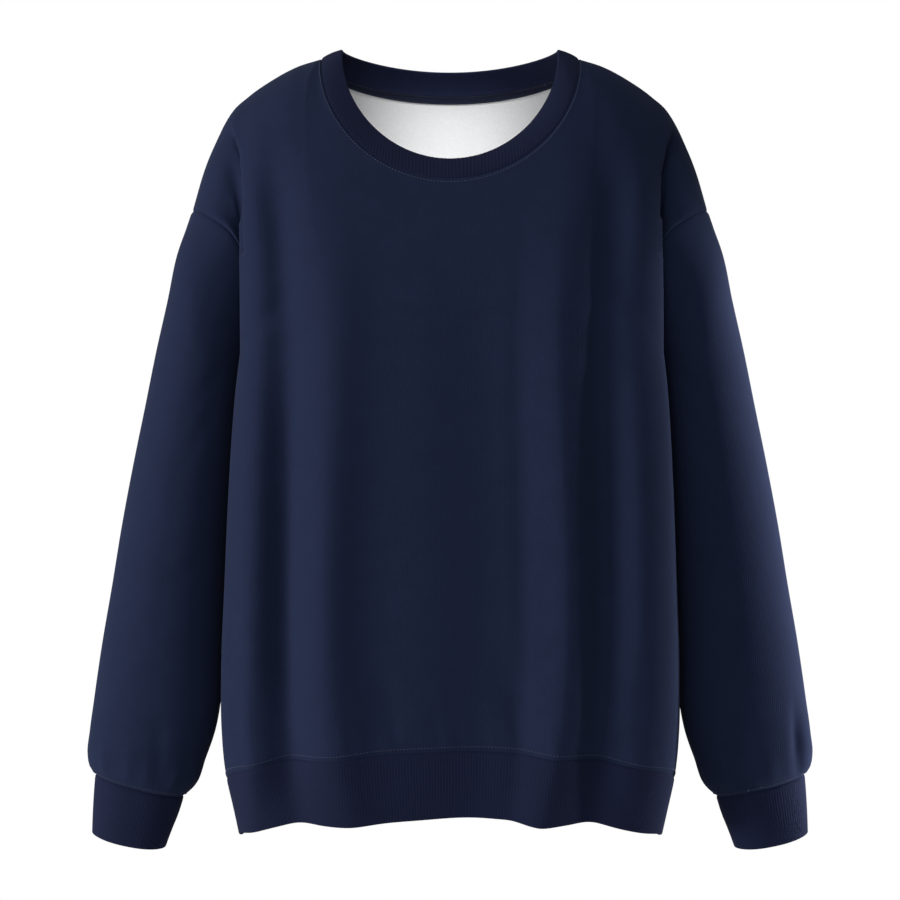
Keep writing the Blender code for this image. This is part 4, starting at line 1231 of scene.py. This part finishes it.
plainFront, plainBack = panelGrid("front"), panelGrid("back")
neckColumns = slice(neckEdge, plainFront.shape[1] - neckEdge)
neckSeam = joinedRing(plainFront[0, neckColumns], plainBack[0, neckColumns])
neckFree = joinedRing(collarEdge("front"), collarEdge("back"))
neckAlong = np.roll(neckSeam, -1, axis=0) - np.roll(neckSeam, 1, axis=0)
neckSwell = unit(np.cross(neckAlong, neckFree - neckSeam))


def neckRing(share):
    swell = neckSwell * collar["swell"] * np.sin(np.pi * share)
    return neckSeam + (neckFree - neckSeam) * share + swell


def hemRing(share):
    if share == 0.0:
        return joinedRing(plainFront[-1], plainBack[-1])
    atSeam, atEdge = body["hemWave"]
    wave = atSeam + (atEdge - atSeam) * share
    parts = []
    for side in ("front", "back"):
        top, low = [hemHeights(side, allShares, body[edge]) for edge in ("hemSeam", "hemEdge")]
        half, outward = torsoSection(side, allShares, top + (low - top) * share)
        full = bothHalves(half)
        relief = foldRelief(side, full) * calmAtSides() * (1 - body["hemCalm"] * share)
        full = full + bothHalves(outward) * relief[:, None]
        full[:, 2] -= wave * relief
        parts.append(full)
    return joinedRing(*parts)


cuff = {
    "sections": (      # as the sleeve's
        (327.0, -673.0, 249.5, -692.0, 29.0, -4.0),
        (328.0, -692.0, 256.0, -708.0, 27.5, -4.5),
        (328.5, -709.0, 261.5, -723.0, 26.0, -5.0),
    ),
    "places": (0.0, 0.34, 0.68, 1.0),      # of the sleeve's end and the sections
}
cuffRings = np.array([sleeveGrid()[-1]]
                     + [sleeveSection(row, sleeve["droop"]) for row in cuff["sections"]])


def cuffRing(share):
    return smoothValues(cuff["places"], cuffRings, [share])[0]


neckBase, neckOut = bandRows("neck", neckRing, -1.0)
hemBase, hemOut = bandRows("hem", hemRing, 1.0)
cuffBase, cuffOut = bandRows("cuff", cuffRing, 1.0)
for name, rows, out, flip in (("neckBand", neckBase, neckOut, 1.0),
                              ("hemBand", hemBase, hemOut, 1.0),
                              ("cuffRight", cuffBase, cuffOut, 1.0),
                              ("cuffLeft", cuffBase, cuffOut, -1.0)):
    addEdges(name, [ringLine(rows[0], out[0], flip)])

frontPanel, frontOuter, _, frontNormals = makePanel("front", frontGrid, frontOut)
backPanel, backOuter, backInner, backNormals = makePanel("back", backGrid, backOut)
rightSleeve, rightOuter, rightNormals = makeSleeve("sleeveRight", "sleeve_right",
                                                   rightGrid, rightOut, 1.0)
leftSleeve, leftOuter, leftNormals = makeSleeve("sleeveLeft", "sleeve_left",
                                                leftGrid, leftOut, -1.0)
print("panels and sleeves made")
neckband = makeBand("neckBand", "neckband", "neck", neckBase, neckOut, -1.0)
hemBand = makeBand("hemBand", "hem_band", "hem", hemBase, hemOut, 1.0)
rightCuff = makeBand("cuffRight", "cuff_right", "cuff", cuffBase, cuffOut, 1.0)
leftCuff = makeBand("cuffLeft", "cuff_left", "cuff", cuffBase, cuffOut, 1.0, -1.0)
print("bands made:", neckBase.shape, hemBase.shape, cuffBase.shape)

tape = {      # over the back neck seam, inside
    "width": 10.0,
    "drop": 0.1,
    "clearance": 0.35,
    "thickness": 0.9,
    "edge": (0.35, 1.5),      # how much thinner at the edges, over what width
    "rows": 7,
    "columnsIn": 3,           # from both ends of the neckline
}


def makeTape():
    keep = slice(neckEdge + tape["columnsIn"], backInner.shape[1] - neckEdge - tape["columnsIn"])
    inner, normals = backInner[:, keep], backNormals[:, keep]
    thinner, over = tape["edge"]
    near, far = [], []
    for distance in np.linspace(tape["drop"], tape["drop"] + tape["width"], tape["rows"]):
        line, out = lineDown(inner, normals, distance)
        fromEdge = min(distance - tape["drop"], tape["drop"] + tape["width"] - distance)
        swell = thinner * min(1.0, fromEdge / over)
        near.append(line - out * tape["clearance"])
        far.append(line - out * (tape["clearance"] + tape["thickness"] + swell - thinner))
    near, far = np.array(near), np.array(far)
    uvs = np.stack([lengthsAlong(far), -lengthsDown(far)], axis=-1)
    obj = wallMesh("neckTape", far, near, False, [navyTape], uvs, 1.0)
    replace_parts(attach(obj, "root"), "neck_tape")
    out = gridNormals(far, False)
    rows = [(far[1], out[1], False), (far[-2], out[-2], False)]
    return obj, stitchRow("tapeStitches", rows)


def panelStitches(name, grid, normals):      # beside the neck seam and the hem seam
    neckLine = lineDown(grid[:, neckColumns], normals[:, neckColumns], stitch["fromNeck"])
    line, out = lineDown(grid, normals, stitch["fromHem"], True)
    keep = slice(stitch["clearOfSide"], -stitch["clearOfSide"])
    return stitchRow(name, [(*neckLine, False), (line[keep], out[keep], False)])


def sleeveStitches(name, grid, normals, mirrored=False):      # beside the cuff seam
    cuffLine = lineDown(grid, normals, stitch["fromCuff"], True)
    return stitchRow(name, [(*cuffLine, True)], mirrored)


neckTape, tapeStitches = makeTape()
frontStitches = panelStitches("frontStitches", frontOuter, frontNormals)
backStitches = panelStitches("backStitches", backOuter, backNormals)
rightStitches = sleeveStitches("sleeveStitchesRight", rightOuter, rightNormals)
leftStitches = sleeveStitches("sleeveStitchesLeft", leftOuter, leftNormals, True)
print("tape and stitches made")
